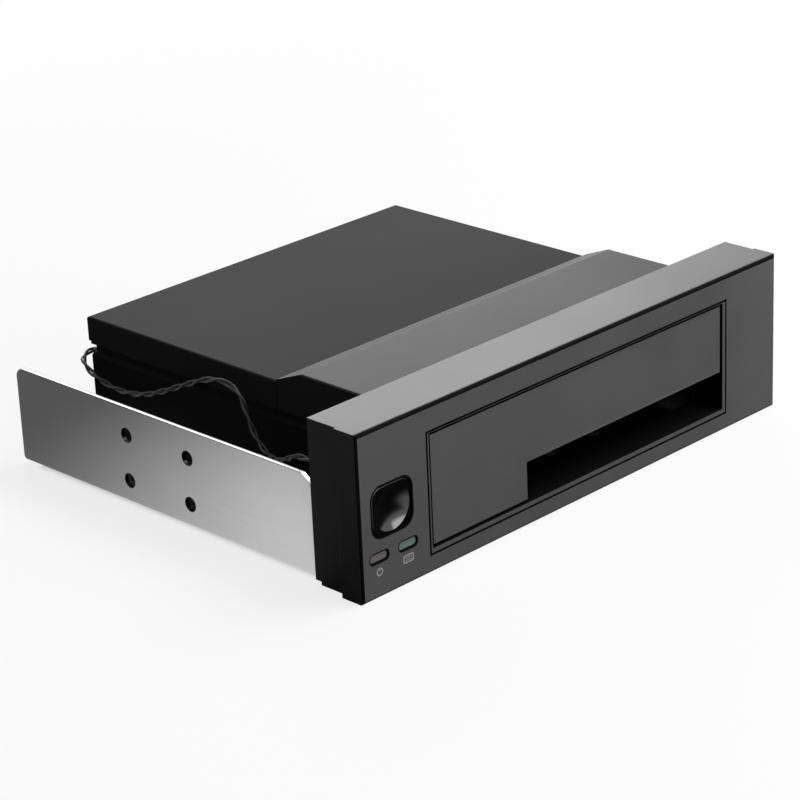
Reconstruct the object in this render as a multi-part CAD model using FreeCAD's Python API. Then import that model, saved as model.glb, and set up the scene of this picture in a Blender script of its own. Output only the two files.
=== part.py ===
import FreeCAD, Part
import math
import os

# Trayless hot swap drive cage for one 5.25 inch bay.  It takes a 3.5 inch drive through a
# sprung flap, or a 2.5 inch drive through the always open slot in the lower right of that flap.
#
# Datum while building: X to the right seen from the front, Y to the rear from the bezel's face,
# Z up from the bezel's lower edge.  save() moves everything so that the origin is the centre of
# the footprint at the base.  All sizes are in millimetres.

V = FreeCAD.Vector

# ---------------------------------------------------------------- driving dimensions
# bezel
bezel_width = 149.0
bezel_height = 41.2
face_band = 6.6              # depth of the full-size band behind the face
bezel_depth = 15.6
lip_length = 1.8             # rear lip that stops short of the lower edge
face_wall = 2.0
skirt_wall = 1.5
skirt_inset = 0.6            # the skirt is this much smaller than the band, each side
skirt_rise = 0.7             # and this much higher at the bottom
lip_rise = 0.9
face_edge_radius = 0.8
rib_thickness = 1.2
rib_depth = 4.0

# door opening in the face and the line scored round it
strip_left = 22.9            # face to the left of the opening, with the button and the lamps
strip_right = 21.35
sill = 6.0
door_under_hinge = 2.3       # from the hinge's axis down to the top of the opening
score_width = 0.4
score_depth = 0.5
score_left = 1.0
score_right = 1.65
score_below = 1.7
score_above = 0.7
collar_wall = 1.4
collar_step = 0.8            # the collar behind the face is this much wider than the opening
collar_gap = 0.3             # from the collar's end to the case

# flap
flap_gap = 0.35
flap_bottom_gap = 0.6
flap_recess = 0.3
flap_wall = 2.0
flap_rib = 2.6
slot_width = 72.1            # opening for the small drive, measured from the flap's right edge
slot_top = 16.0
stop_reach = 0.75
stop_drop = 2.75             # from the flap's top to the stop tabs
stop_height = 9.0

# flap hinge
hinge_behind_face = 2.2      # from the face's inner side back to the hinge's axis
hinge_drop = 3.3             # from the bezel's top wall down to the hinge's axis
pin_radius = 1.0
pin_fit = 0.03
knuckle_fit = 0.06
knuckle_radius = 1.75
ear_radius = 2.0
ear_width = 2.0
ear_gap = 0.6
knuckle_length = 11.2
middle_knuckle = 13.5
spring_wire = 0.5
spring_radius = 1.6
spring_turns = 5
steps_per_turn = 10
spring_gap = 0.5
spring_length = 4.2
spring_leg = 5.6
spring_rest = 0.1

# case of steel sheet
sheet = 0.8
case_beside_left = 2.6       # the case stands out this far beyond the door opening
case_beside_right = 2.45
case_front = 9.3
case_rear = 115.4
skirt_height = 7.06          # of the cover and the hood, from the cover's top
joggle_gap = 2.2             # from the skirts' lower edge to the joggle in the tray's wall
lip_height = 6.36
cover_edge_radius = 0.6
corner_notch = 2.3

# hood over the swung flap
hood_fit = 0.2               # under the bezel's top wall
hood_rise = 3.64             # above the cover
hood_wall = 1.2
hood_edge_radius = 0.6
hood_front = 7.5
hood_skirt_front = 12.0
ramp_room = 4.3              # from the swung flap's edge to the top of the ramp
ramp_length = 8.3
ramp_foot_step = 0.4
tongue_length = 4.6
panel_gap = 0.3

# drive guides
drive_margin = 1.575         # from the side of a drive to the side of the opening
drive_play = 1.0
guide_ledge = 6.1            # height of the face that drives slide on
ledge_width = 6.5
guide_under_joggle = 2.6
guide_front_gap = 0.3
guide_rear_gap = 9.0         # from the guides' end to the backplane
lead_in = 5.0
lead_in_depth = 1.0
runner_width = 4.0
peg_radius = 1.4
peg_fit = 0.1

# side brackets
bracket_inset = 1.5          # the plates are this much inside the bezel's ends
bracket_sheet = 1.0
case_over_skirt = 0.1        # from the bezel's lower wall up to the tray
bracket_top = 26.7
bracket_gap = 0.9            # behind the bezel
bracket_overhang = 6.0       # behind the case
bracket_bend = 1.8
bracket_corner = 2.5
bracket_chamfer_y = 3.0
bracket_chamfer_z = 2.0
flange_reach = 9.0           # how far the flange runs in under the case
bay_hole_radius = 1.8
bay_hole_first_y = 58.5
bay_hole_pitch_y = 21.8
bay_hole_first_z = 7.5
bay_hole_pitch_z = 11.84

# screws
screw_radius = 1.3
shank_sides = 8
screw_fit = 0.05
thin_head_radius = 2.6
pan_head_radius = 2.3
pan_head = 1.5
bracket_screw_first_y = 30.0
bracket_screw_second_y = 65.0
bracket_screw_rear_inset = 7.0
bracket_screw_inset = 4.6
bracket_screw_bite = 1.9
boss_wall = 0.95
bezel_screw_beside = 4.6     # outside the case's walls
bezel_screw_low = 5.4
bezel_screw_length = 6.0
tab_margin = 2.6
tab_gap = 0.3
cover_screw_inset = 10.9
cover_screw_drop = 3.66
cover_screw_length = 3.0

# backplane
board_sheet = 1.6
standoff_length = 6.2
board_inset = 3.9            # from the case's sides
board_floor_gap = 1.5
board_top_gap = 1.46
standoff_radius = 2.4
standoff_low_inset = 5.0
standoff_high_inset = 15.0
standoff_rise = 4.5
standoff_drop = 6.8
socket_inset = 30.1          # middle of the drive socket from the drive's right side
socket_width = 42.6
socket_height = 6.4
socket_depth = 8.0
socket_lift = 0.3
contact_pitch = 1.27
contact_width = 0.7
contact_height = 0.4
power_pins = 15
data_pins = 7
pocket_height = 2.6
pocket_depth = 5.6
key_width = 1.3
key_height = 1.5
post_depth = 2.4
cap_radius = 2.5
cap_length = 5.0
cap_gap = 5.1                # from the standoff to the first capacitor
cap_apart = 1.0
coil_size = 6.4
coil_gap = 7.2               # from the standoff to the coil

# rear ports, their middles measured from the case's middle
port_height = 6.0
port_z = 13.0
port_wall = 1.3
port_reach = 1.8             # how far the ports stand out of the rear wall
port_margin = 0.4
data_port_offset = -9.7
power_port_offset = 20.0
tongue_height = 1.3

# vents
vent_width = 2.4
vent_height = 7.0
vent_corner = 0.8
vent_pitch = 7.0
vent_count = 9
vent_first_offset = -24.7
vent_under_lip = 1.4
floor_slot_length = 16.0
floor_slot_width = 4.0
floor_slot_offset = (-6.7, 9.3, 25.3)
floor_slot_y = (26.0, 54.0)

# power button, indicators and their board, measured from the bezel's left end
button_inset = 10.4
button_width = 12.1
button_height = 11.5
button_corner = 2.8
button_gap = 0.3
button_recess = 0.2
button_front_wall = 2.6
button_wall = 1.4
button_rear = 6.0
button_lip = 0.9
button_lip_depth = 1.1
button_travel = 2.0
button_room = 0.5            # left between the pressed button and the control board
dish_radius = 14.0
dish_depth = 1.2
sleeve_wall = 1.2
sleeve_end = 4.6
window_width = 5.6
window_height = 2.1
window_corner = 0.9
window_gap = 0.1
window_z = 10.0
power_window_inset = 5.7
access_window_inset = 14.9
pipe_flange = 0.5
pipe_flange_depth = 0.8
pipe_board_gap = 1.7
pipe_stem_inset = 0.6
led_width = 3.0
led_height = 1.5
led_gap = 0.2
control_inset = 2.6
control_width = 14.6
control_margin = 1.2         # from the upper boss's middle to the board's upper edge
control_boss_radius = 1.5
control_boss_gap = 0.15
control_boss_floor = 1.0
control_screw_radius = 0.75
control_head_radius = 1.2
control_head = 0.9
control_screw_bite = 4.5
switch_size = 6.0
switch_height = 3.3
plunger_radius = 1.5
plunger_fit = 0.05
plunger_depth = 1.1

# lead from the backplane to the control board
lead_diameter = 1.5
lead_sides = 8
arc_share = 0.45             # of the shorter run beside a bend
header_wall = 0.7
plug_width = 5.6
plug_height = 3.2
plug_gap = 0.2
front_plug_beside = 1.9      # left of the button's middle
front_plug_drop = 4.9        # under the board's upper screw
header_depth = 4.0
header_floor = 1.0
front_plug_length = 4.3
rear_plug_inset = 9.2
rear_plug_under_lip = 3.7
rear_plug_out = 4.1          # how far the rear plug stands out behind the rear wall

# the lead's route, chosen point by point, from the rear plug's side to the front plug's back
lead_route = (
    (-47.9, 117.3, 25.8),
    (-50.8, 117.3, 25.8),
    (-53.7, 117.3, 25.7),
    (-56.3, 115.8, 25.3),
    (-57.8, 113.2, 24.3),
    (-57.9, 109.6, 22.5),
    (-57.5, 104.6, 20.9),
    (-57.1, 98.4, 20.5),
    (-57.0, 91.2, 21.8),
    (-57.1, 83.2, 25.0),
    (-57.2, 74.8, 29.0),
    (-57.3, 67.6, 32.1),
    (-57.3, 61.0, 33.2),
    (-57.2, 56.4, 31.2),
    (-57.1, 54.4, 27.0),
    (-57.2, 52.6, 22.6),
    (-57.8, 48.6, 19.2),
    (-59.2, 43.4, 18.4),
    (-61.8, 37.2, 20.8),
    (-64.2, 30.0, 25.0),
    (-65.6, 23.6, 25.6),
    (-66.0, 18.6, 24.0),
    (-66.0, 15.4, 24.0),
)

# ---------------------------------------------------------------- places worked out from them
bezel_left = -bezel_width / 2
skirt_half = bezel_width / 2 - skirt_inset
cavity_half = skirt_half - skirt_wall
cavity_floor = skirt_rise + skirt_wall
cavity_top = bezel_height - skirt_wall
lip_front = bezel_depth - lip_length

hinge_y = face_wall + hinge_behind_face
hinge_z = cavity_top - hinge_drop
door_left = bezel_left + strip_left
door_right = bezel_width / 2 - strip_right
door_width = door_right - door_left
door_middle = (door_left + door_right) / 2
door_top = hinge_z - door_under_hinge
collar_end = case_front - collar_gap

flap_left = door_left + flap_gap
flap_right = door_right - flap_gap
flap_low = sill + flap_bottom_gap
flap_top = door_top - flap_gap
flap_back = flap_recess + flap_wall
flap_rib_back = flap_back + flap_rib
flap_reach = hinge_y + hinge_z - flap_low      # how far back the swung flap's edge comes
slot_left = flap_right - slot_width

hood_top = cavity_top - hood_fit
case_top = hood_top - hood_rise
case_bottom = skirt_rise + skirt_wall + case_over_skirt
bracket_bottom = case_bottom - bracket_sheet
case_left = door_left - case_beside_left
case_right = door_right + case_beside_right
case_middle = (case_left + case_right) / 2
case_half = (case_right - case_left) / 2
inner_left = case_left + 2 * sheet
inner_right = case_right - 2 * sheet
floor_top = case_bottom + sheet
cover_bottom = case_top - sheet
skirt_bottom = case_top - skirt_height
lip_bottom = case_top - lip_height
joggle_z = skirt_bottom - joggle_gap
rear_wall_outer = case_rear - sheet
rear_wall_inner = rear_wall_outer - sheet
ramp_top_y = flap_reach + ramp_room
ramp_foot_y = ramp_top_y + ramp_length

board_rear = rear_wall_inner - standoff_length
board_front = board_rear - board_sheet
board_half = case_half - board_inset
board_low = floor_top + board_floor_gap
board_high = cover_bottom - board_top_gap
standoff_low_reach = board_half - standoff_low_inset
standoff_high_reach = board_half - standoff_high_inset
guide_rear = board_front - guide_rear_gap
channel_half = (door_width + drive_play) / 2 - drive_margin
socket_x = door_right - drive_margin - socket_inset
socket_z = guide_ledge + socket_lift + socket_height / 2
data_port_x = case_middle + data_port_offset
power_port_x = case_middle + power_port_offset
vent_z = lip_bottom - vent_under_lip - vent_height / 2

bracket_outer = bezel_width / 2 - bracket_inset
bracket_front = bezel_depth + bracket_gap
bracket_rear = case_rear + bracket_overhang
bracket_screw_left = case_left + bracket_screw_inset
bracket_screw_right = case_right - bracket_screw_inset
bracket_screw_y = (bracket_screw_first_y, bracket_screw_second_y, guide_rear - bracket_screw_rear_inset)

button_x = bezel_left + button_inset
button_z = bezel_height / 2
power_window_x = bezel_left + power_window_inset
access_window_x = bezel_left + access_window_inset
control_front = button_rear + button_travel + button_room
control_rear = control_front + board_sheet
control_left = bezel_left + control_inset
control_upper_z = button_z + button_height / 2 + button_lip + control_boss_gap + control_boss_radius
control_high = control_upper_z + control_margin
control_low = bezel_screw_low + tab_margin + tab_gap
bezel_screw_high = control_high + tab_gap + tab_margin
switch_front = control_front - switch_height
pipe_rear = control_front - pipe_board_gap

front_plug_x = button_x - front_plug_beside
front_plug_z = control_upper_z - front_plug_drop
rear_plug_x = case_left + rear_plug_inset
rear_plug_z = lip_bottom - rear_plug_under_lip
rear_plug_end = rear_wall_outer + rear_plug_out


# ---------------------------------------------------------------- shape helpers
def box(x0, x1, y0, y1, z0, z1):
    """Box between two corners."""
    return Part.makeBox(x1 - x0, y1 - y0, z1 - z0, V(x0, y0, z0))


def rod(start, axis, radius, length):
    """Round bar from a point along an axis."""
    return Part.makeCylinder(radius, length, V(*start), V(*axis))


def shaft(start, axis, radius, length):
    """Even-sided bar along an axis, for shanks and the holes that screw heads cover."""
    angles = [2 * math.pi * step / shank_sides for step in range(shank_sides)]
    bar = face_of([(radius * math.cos(angle), radius * math.sin(angle), 0) for angle in angles])
    bar = bar.extrude(V(0, 0, length))
    bar.Placement = FreeCAD.Placement(V(*start), FreeCAD.Rotation(V(0, 0, 1), V(*axis)))
    return bar


def face_of(points):
    """Flat face inside a closed run of straight edges."""
    corners = [V(*point) for point in points]
    return Part.Face(Part.makePolygon(corners + corners[:1]))


def prism_x(profile, x0, x1):
    """Profile of (y, z) points pushed along X."""
    return face_of([(x0, y, z) for y, z in profile]).extrude(V(x1 - x0, 0, 0))


def prism_y(profile, y0, y1):
    """Profile of (x, z) points pushed along Y."""
    return face_of([(x, y0, z) for x, z in profile]).extrude(V(0, y1 - y0, 0))


def prism_z(profile, z0, z1):
    """Profile of (x, y) points pushed up along Z."""
    return face_of([(x, y, z0) for x, y in profile]).extrude(V(0, 0, z1 - z0))


def rounded_y(x, z, width, height, corner, y0, y1):
    """Bar along Y with a rounded rectangle as its section."""
    bar = box(x - width / 2, x + width / 2, y0, y1, z - height / 2, z + height / 2)
    return bar.makeFillet(corner, [edge for edge in bar.Edges if along(edge, V(0, 1, 0))])


def along(edge, axis):
    """True for a straight edge that runs along the axis."""
    first, last = edge.Vertexes[0].Point, edge.Vertexes[-1].Point
    return isinstance(edge.Curve, Part.Line) and (last - first).cross(axis).Length < 1e-6


def slot_z(x, y, length, width, z0, z1):
    """Round-ended bar standing along Z, its long way along Y."""
    reach = (length - width) / 2
    bar = box(x - width / 2, x + width / 2, y - reach, y + reach, z0, z1)
    ends = [rod((x, y + side * reach, z0), (0, 0, 1), width / 2, z1 - z0) for side in (-1, 1)]
    return joined([bar] + ends)


def joined(shapes):
    """One shape from several that touch."""
    return shapes[0].fuse(shapes[1:]).removeSplitter() if len(shapes) > 1 else shapes[0]


def group(shapes):
    """Separate solids in one node."""
    return Part.makeCompound(shapes)


def mirrored(shape, middle):
    """Mirror image across the upright plane x = middle."""
    return shape.mirror(V(middle, 0, 0), V(1, 0, 0))


def edges_at(shape, axis, value):
    """Straight edges that lie wholly in the plane where the axis has this value."""
    def inside(edge):
        return all(abs(getattr(vertex.Point, axis) - value) < 1e-6 for vertex in edge.Vertexes)
    return [edge for edge in shape.Edges if inside(edge)]


def screw(seat, axis, head_radius, head, length):
    """Screw whose head sits on the seat and whose shank runs along the axis."""
    back = [-head * part for part in axis]
    top = [place + move for place, move in zip(seat, back)]
    return joined([rod(top, axis, head_radius, head), shaft(seat, axis, screw_radius, length)])


# ---------------------------------------------------------------- bezel
def ear(x0):
    """Hinge ear that hangs from the bezel's top wall, with the pin's bore."""
    hanger = box(x0, x0 + ear_width, face_wall, hinge_y + ear_radius, hinge_z, cavity_top)
    eye = rod((x0, hinge_y, hinge_z), (1, 0, 0), ear_radius, ear_width)
    back_off = box(x0, x0 + ear_width, 0, face_wall, 0, bezel_height)
    return joined([hanger, eye]).cut(back_off)


def ear_places():
    """Left sides of the two end ears and the two inner ears."""
    left = flap_left - stop_reach - ear_gap - ear_width
    right = flap_right + stop_reach + ear_gap
    inner = (door_width - knuckle_length) / 4
    return (left, door_middle - inner - ear_width / 2, door_middle + inner - ear_width / 2, right)


def boss(x, z, radius, end):
    """Blind screw boss behind the bezel's face."""
    return rod((x, face_wall, z), (0, 1, 0), radius, end - face_wall)


def bezel_screw_places():
    """Middles of the four screws that hold the bezel to the case."""
    sides = (case_left - bezel_screw_beside, case_right + bezel_screw_beside)
    return [(x, z) for x in sides for z in (bezel_screw_low, bezel_screw_high)]


def control_screw_places():
    """Middles of the two screws that hold the control board."""
    return [(button_x, window_z), (button_x, control_upper_z)]


def bezel_shell():
    """Open-backed moulding: band, skirt and rear lip, hollowed from behind."""
    band = box(-bezel_width / 2, bezel_width / 2, 0, face_band, 0, bezel_height)
    band = band.makeFillet(face_edge_radius, edges_at(band, "y", 0))
    skirt = box(-skirt_half, skirt_half, face_band, lip_front, skirt_rise, bezel_height)
    lip = box(-skirt_half, skirt_half, lip_front, bezel_depth, skirt_rise + lip_rise, bezel_height)
    cavity = box(-cavity_half, cavity_half, face_wall, bezel_depth, cavity_floor, cavity_top)
    return joined([band, skirt, lip]).cut(cavity)


def collar():
    """Trough behind the opening that guides a drive over the sill."""
    left = door_left - collar_step
    right = door_right + collar_step
    outer = box(left - collar_wall, right + collar_wall, face_wall, collar_end,
                sill - collar_wall, door_top)
    inner = box(left, right, 0, collar_end, sill, door_top + collar_wall)
    return outer.cut(inner)


def score_ring():
    """Fine groove round the door opening."""
    x0 = door_left - score_left
    x1 = door_right + score_right
    z0 = sill - score_below
    z1 = door_top + score_above
    outer = box(x0, x1, 0, score_depth, z0, z1)
    inner = box(x0 + score_width, x1 - score_width, 0, score_depth,
                z0 + score_width, z1 - score_width)
    return outer.cut(inner)


def front_bezel():
    """Moulded bezel with its collar, hinge ears, button sleeve, bosses and ribs."""
    sleeve_w = button_width + 2 * (button_gap + sleeve_wall)
    sleeve_h = button_height + 2 * (button_gap + sleeve_wall)
    sleeve_r = button_corner + button_gap + sleeve_wall
    pieces = [bezel_shell(), collar()]
    pieces.append(rounded_y(button_x, button_z, sleeve_w, sleeve_h, sleeve_r, face_wall, sleeve_end))
    pieces += [ear(x0) for x0 in ear_places()]
    pieces += [boss(x, z, screw_radius + boss_wall, case_front) for x, z in bezel_screw_places()]
    pieces += [boss(x, z, control_boss_radius, control_front) for x, z in control_screw_places()]
    rib_end = face_wall + rib_depth
    rib_start = door_right + collar_step + collar_wall
    for z in (bezel_height / 3, 2 * bezel_height / 3):
        pieces.append(box(rib_start, cavity_half, face_wall, rib_end, z, z + rib_thickness))
    for x in (-bezel_width / 4, 0, bezel_width / 4):
        pieces.append(box(x, x + rib_thickness, face_wall, rib_end, cavity_floor, sill - collar_wall))
    hole_w = button_width + 2 * button_gap
    hole_h = button_height + 2 * button_gap
    cuts = [box(door_left, door_right, 0, face_wall, sill, door_top), score_ring()]
    cuts.append(rounded_y(button_x, button_z, hole_w, hole_h, button_corner + button_gap, 0, sleeve_end))
    for x in (power_window_x, access_window_x):
        cuts.append(rounded_y(x, window_z, window_width, window_height, window_corner, 0, face_wall))
        cuts.append(pipe_flange_block(x, window_gap))
    pin_left, pin_right = pin_ends()
    cuts.append(rod((pin_left, hinge_y, hinge_z), (1, 0, 0), pin_radius + pin_fit, pin_right - pin_left))
    for x, z in bezel_screw_places():
        seat = case_front - bezel_screw_length
        cuts.append(shaft((x, seat, z), (0, 1, 0), screw_radius + screw_fit, bezel_screw_length))
    for x, z in control_screw_places():
        floor = face_wall + control_boss_floor
        cuts.append(shaft((x, floor, z), (0, 1, 0), control_screw_radius + screw_fit,
                        control_front - floor))
    return joined(pieces).cut(cuts)


# ---------------------------------------------------------------- flap and its hinge
def pin_ends():
    """Ends of the hinge pin, inside the two end ears."""
    places = ear_places()
    return places[0] + ear_gap, places[-1] + ear_width - ear_gap


def flap_outline(inset):
    """Corners (x, z) of the flap with its notch, moved in by the inset."""
    return [
        (flap_left + inset, flap_low + inset),
        (slot_left - inset, flap_low + inset),
        (slot_left - inset, slot_top + inset),
        (flap_right - inset, slot_top + inset),
        (flap_right - inset, flap_top - inset),
        (flap_left + inset, flap_top - inset),
    ]


def knuckle_spans():
    """Left side and length of each knuckle on the flap."""
    return (
        (flap_left, knuckle_length),
        (door_middle - middle_knuckle / 2, middle_knuckle),
        (flap_right - knuckle_length, knuckle_length),
    )


def knuckle(x0, length):
    """Barrel round the pin and the web that joins it to the flap's back."""
    barrel = rod((x0, hinge_y, hinge_z), (1, 0, 0), knuckle_radius, length)
    web_front = hinge_y - knuckle_radius
    web = box(x0, x0 + length, web_front, flap_rib_back, flap_top - rib_thickness, hinge_z)
    return joined([barrel, web])


def drive_flap():
    """Notched flap: plate, stiffening rim on its back, stop tabs and knuckles."""
    plate = prism_y(flap_outline(0), flap_recess, flap_back)
    rim = prism_y(flap_outline(0), flap_back, flap_rib_back).cut(
        prism_y(flap_outline(rib_thickness), flap_back, flap_rib_back))
    pieces = [plate, rim]
    pieces += [knuckle(x0, length) for x0, length in knuckle_spans()]
    stop_top = flap_top - stop_drop
    for x0, x1 in ((flap_left - stop_reach, flap_left + rib_thickness),
                   (flap_right - rib_thickness, flap_right + stop_reach)):
        pieces.append(box(x0, x1, face_wall + pin_fit, flap_rib_back, stop_top - stop_height, stop_top))
    rib_low = slot_top + rib_thickness
    for x in (door_left + door_width / 4, slot_left, door_left + 3 * door_width / 4):
        pieces.append(box(x, x + rib_thickness, flap_back, flap_rib_back,
                          rib_low, flap_top - rib_thickness))
    bore = rod((flap_left, hinge_y, hinge_z), (1, 0, 0), pin_radius + knuckle_fit, flap_right - flap_left)
    return joined(pieces).cut(bore)


def flap_hinge_pin():
    """Steel pin through ears and knuckles."""
    left, right = pin_ends()
    return rod((left, hinge_y, hinge_z), (1, 0, 0), pin_radius, right - left)


def wire_section(centre, angle):
    """Six-sided section of spring wire, square to the coil at this angle round the pin."""
    outward = V(0, math.cos(angle), math.sin(angle))
    corners = [centre + outward * (spring_wire / 2 * math.cos(math.radians(60 * step)))
               + V(spring_wire / 2 * math.sin(math.radians(60 * step)), 0, 0) for step in range(6)]
    return Part.makePolygon(corners + corners[:1])


def flap_spring(x0):
    """Torsion spring round the pin: one leg up to the bezel, one down the flap's back."""
    pitch = (spring_length - spring_wire) / spring_turns
    start = V(x0 + spring_wire / 2, hinge_y, hinge_z)
    lean = (spring_radius - spring_wire / 2 - flap_rib_back - spring_rest + hinge_y) / (
        hinge_z - flap_top + rib_thickness)
    low_end = start + V(0, spring_radius - lean * spring_leg, -spring_leg)
    high_end = start + V(pitch * spring_turns, spring_radius, cavity_top - hinge_z - spring_rest)
    sections = [wire_section(low_end, 0)]
    for step in range(spring_turns * steps_per_turn + 1):
        angle = 2 * math.pi * step / steps_per_turn
        round_pin = V(0, spring_radius * math.cos(angle), spring_radius * math.sin(angle))
        along_pin = V(pitch * step / steps_per_turn, 0, 0)
        sections.append(wire_section(start + along_pin + round_pin, angle))
    sections.append(wire_section(high_end, 0))
    return Part.makeLoft(sections, True, True)


# ---------------------------------------------------------------- case
def side_wall():
    """Left wall of the tray, joggled inwards where the cover's skirt laps it."""
    fold = sheet / 2
    profile = [
        (case_left, case_bottom),
        (case_left, joggle_z - sheet),
        (case_left + sheet, joggle_z),
        (case_left + sheet, cover_bottom),
        (case_left + 2 * sheet, cover_bottom),
        (case_left + 2 * sheet, joggle_z - fold),
        (case_left + sheet, joggle_z - sheet - fold),
        (case_left + sheet, case_bottom),
    ]
    wall = prism_y(profile, case_front, rear_wall_outer)
    corner = box(case_left, case_left + 2 * sheet, rear_wall_outer - corner_notch, case_rear,
                 joggle_z, cover_bottom)
    return wall.cut(corner)


def front_tab(x, z, root):
    """Tab turned outwards at the front of a wall, where a bezel screw goes."""
    reach = x - math.copysign(tab_margin, root - x)
    low = max(z - tab_margin, case_bottom)
    return box(min(reach, root), max(reach, root), case_front, case_front + sheet, low, z + tab_margin)


def board_hole_places():
    """Middles of the backplane's standoffs."""
    corners = (
        (standoff_low_reach, board_low + standoff_rise),
        (standoff_high_reach, board_high - standoff_drop),
    )
    return [(case_middle + side * reach, z) for side in (-1, 1) for reach, z in corners]


def cover_screw_places():
    """Middles of the two screws that hold the cover's rear lip."""
    z = case_top - cover_screw_drop
    return [(case_left + cover_screw_inset, z), (case_right - cover_screw_inset, z)]


def bracket_screw_places():
    """Middles of the screws through flange, tray and guide."""
    return [(x, y) for x in (bracket_screw_left, bracket_screw_right) for y in bracket_screw_y]


def peg_places():
    """Middles of the centre runner's pegs."""
    return [(slot_left, y) for y in (bracket_screw_y[0], bracket_screw_y[-1])]


def port_width(pins):
    """Outside width of a port with this many contacts."""
    return pins * contact_pitch + 2 * key_width + 2 * port_wall


def chassis_tray():
    """Steel tray: floor, joggled walls, rear wall with its cut-outs, front tabs."""
    wall = side_wall()
    floor = box(case_left, case_right, case_front, rear_wall_outer, case_bottom, floor_top)
    rear_low = box(case_left, case_right, rear_wall_inner, rear_wall_outer, case_bottom, joggle_z - sheet)
    rear_high = box(inner_left, inner_right, rear_wall_inner, rear_wall_outer, case_bottom, cover_bottom)
    pieces = [floor, wall, mirrored(wall, case_middle), rear_low, rear_high]
    for x, z in bezel_screw_places():
        side = math.copysign(1, x - case_middle)
        lower_root = case_middle + side * (case_half - sheet)
        root = lower_root if z == bezel_screw_low else lower_root - side * sheet
        pieces.append(front_tab(x, z, root))
    hole = screw_radius + screw_fit
    cuts = [shaft((x, case_front, z), (0, 1, 0), hole, sheet) for x, z in bezel_screw_places()]
    for x, z in board_hole_places() + cover_screw_places():
        cuts.append(shaft((x, rear_wall_inner, z), (0, 1, 0), hole, sheet))
    cuts += [shaft((x, y, case_bottom), (0, 0, 1), hole, sheet) for x, y in bracket_screw_places()]
    cuts += [rod((x, y, case_bottom), (0, 0, 1), peg_radius + peg_fit, sheet) for x, y in peg_places()]
    for x, pins in ((data_port_x, data_pins), (power_port_x, power_pins)):
        half = port_width(pins) / 2 + port_margin
        high = port_height / 2 + port_margin
        cuts.append(box(x - half, x + half, rear_wall_inner, rear_wall_outer,
                        port_z - high, port_z + high))
    half = plug_width / 2 + header_wall + plug_gap + port_margin
    high = plug_height / 2 + header_wall + plug_gap + port_margin
    cuts.append(box(rear_plug_x - half, rear_plug_x + half, rear_wall_inner, rear_wall_outer,
                    rear_plug_z - high, rear_plug_z + high))
    for index in range(vent_count):
        x = case_middle + vent_first_offset + index * vent_pitch
        cuts.append(rounded_y(x, vent_z, vent_width, vent_height, vent_corner,
                              rear_wall_inner, rear_wall_outer))
    for offset in floor_slot_offset:
        for y in floor_slot_y:
            cuts.append(slot_z(case_middle + offset, y, floor_slot_length, floor_slot_width,
                               case_bottom, floor_top))
    return joined(pieces).cut(cuts)


def top_cover():
    """Steel cover: top, skirts lapping the tray's walls, rear lip, tongue under the hood."""
    front = ramp_foot_y + panel_gap
    outer = box(case_left, case_right, front, case_rear, skirt_bottom, case_top)
    seam = [edge.hashCode() for edge in edges_at(outer, "y", front)]
    folds = [edge for edge in edges_at(outer, "z", case_top) if edge.hashCode() not in seam]
    outer = outer.makeFillet(cover_edge_radius, folds)
    hollow = box(case_left + sheet, case_right - sheet, front, rear_wall_outer,
                 skirt_bottom, cover_bottom)
    below_lip = box(case_left, case_right, rear_wall_outer, case_rear, skirt_bottom, lip_bottom)
    side = sheet + panel_gap
    tongue = box(case_left + side, case_right - side, ramp_foot_y - tongue_length, front,
                 cover_bottom, case_top)
    holes = [shaft((x, rear_wall_outer, z), (0, 1, 0), screw_radius + screw_fit, sheet)
             for x, z in cover_screw_places()]
    return joined([outer.cut([hollow, below_lip]), tongue]).cut(holes)


def flap_hood():
    """Raised moulding over the swung flap, ramped down to the cover behind it."""
    under = ramp_foot_y - tongue_length - panel_gap
    ceiling = hood_top - hood_wall
    outer = prism_x([
        (hood_front, skirt_bottom),
        (hood_front, hood_top),
        (ramp_top_y, hood_top),
        (ramp_foot_y, case_top + ramp_foot_step),
        (ramp_foot_y, skirt_bottom),
    ], case_left, case_right)
    sides = [edge for edge in edges_at(outer, "z", hood_top) if along(edge, V(0, 1, 0))]
    outer = outer.makeFillet(hood_edge_radius, sides)
    hollow = prism_x([
        (hood_front, skirt_bottom),
        (hood_front, ceiling),
        (ramp_top_y - hood_wall / 2, ceiling),
        (under, case_top),
        (ramp_foot_y, case_top),
        (ramp_foot_y, skirt_bottom),
    ], case_left + sheet, case_right - sheet)
    open_front = box(case_left, case_right, hood_front, hood_skirt_front, skirt_bottom, ceiling)
    return outer.cut([hollow, open_front])


# ---------------------------------------------------------------- guides
def guide(wall_x, clear_x, channel_x, screw_x):
    """Side guide: upright that leaves the flap room, then centres the drive, and a ledge."""
    side = math.copysign(1, channel_x - wall_x)
    ledge_x = channel_x + side * ledge_width
    front = case_front + guide_front_gap
    sweep_end = flap_reach + flap_rib
    upright = prism_z([
        (wall_x, front),
        (clear_x, front),
        (clear_x, sweep_end),
        (channel_x, sweep_end + lead_in),
        (channel_x, guide_rear),
        (wall_x, guide_rear),
    ], floor_top, joggle_z - guide_under_joggle)
    ledge = prism_x([
        (front, floor_top),
        (front, guide_ledge - lead_in_depth),
        (front + lead_in, guide_ledge),
        (guide_rear, guide_ledge),
        (guide_rear, floor_top),
    ], min(wall_x, ledge_x), max(wall_x, ledge_x))
    holes = [shaft((screw_x, y, floor_top), (0, 0, 1), screw_radius + screw_fit, bracket_screw_bite)
             for y in bracket_screw_y]
    return joined([upright, ledge]).cut(holes)


def drive_guide_left():
    """Left guide, against the tray's lower wall."""
    return guide(case_left + sheet, flap_left - stop_reach - flap_gap,
                 door_middle - channel_half, bracket_screw_left)


def drive_guide_right():
    """Right guide, against the tray's lower wall."""
    return guide(case_right - sheet, flap_right + stop_reach + flap_gap,
                 door_middle + channel_half, bracket_screw_right)


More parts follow.
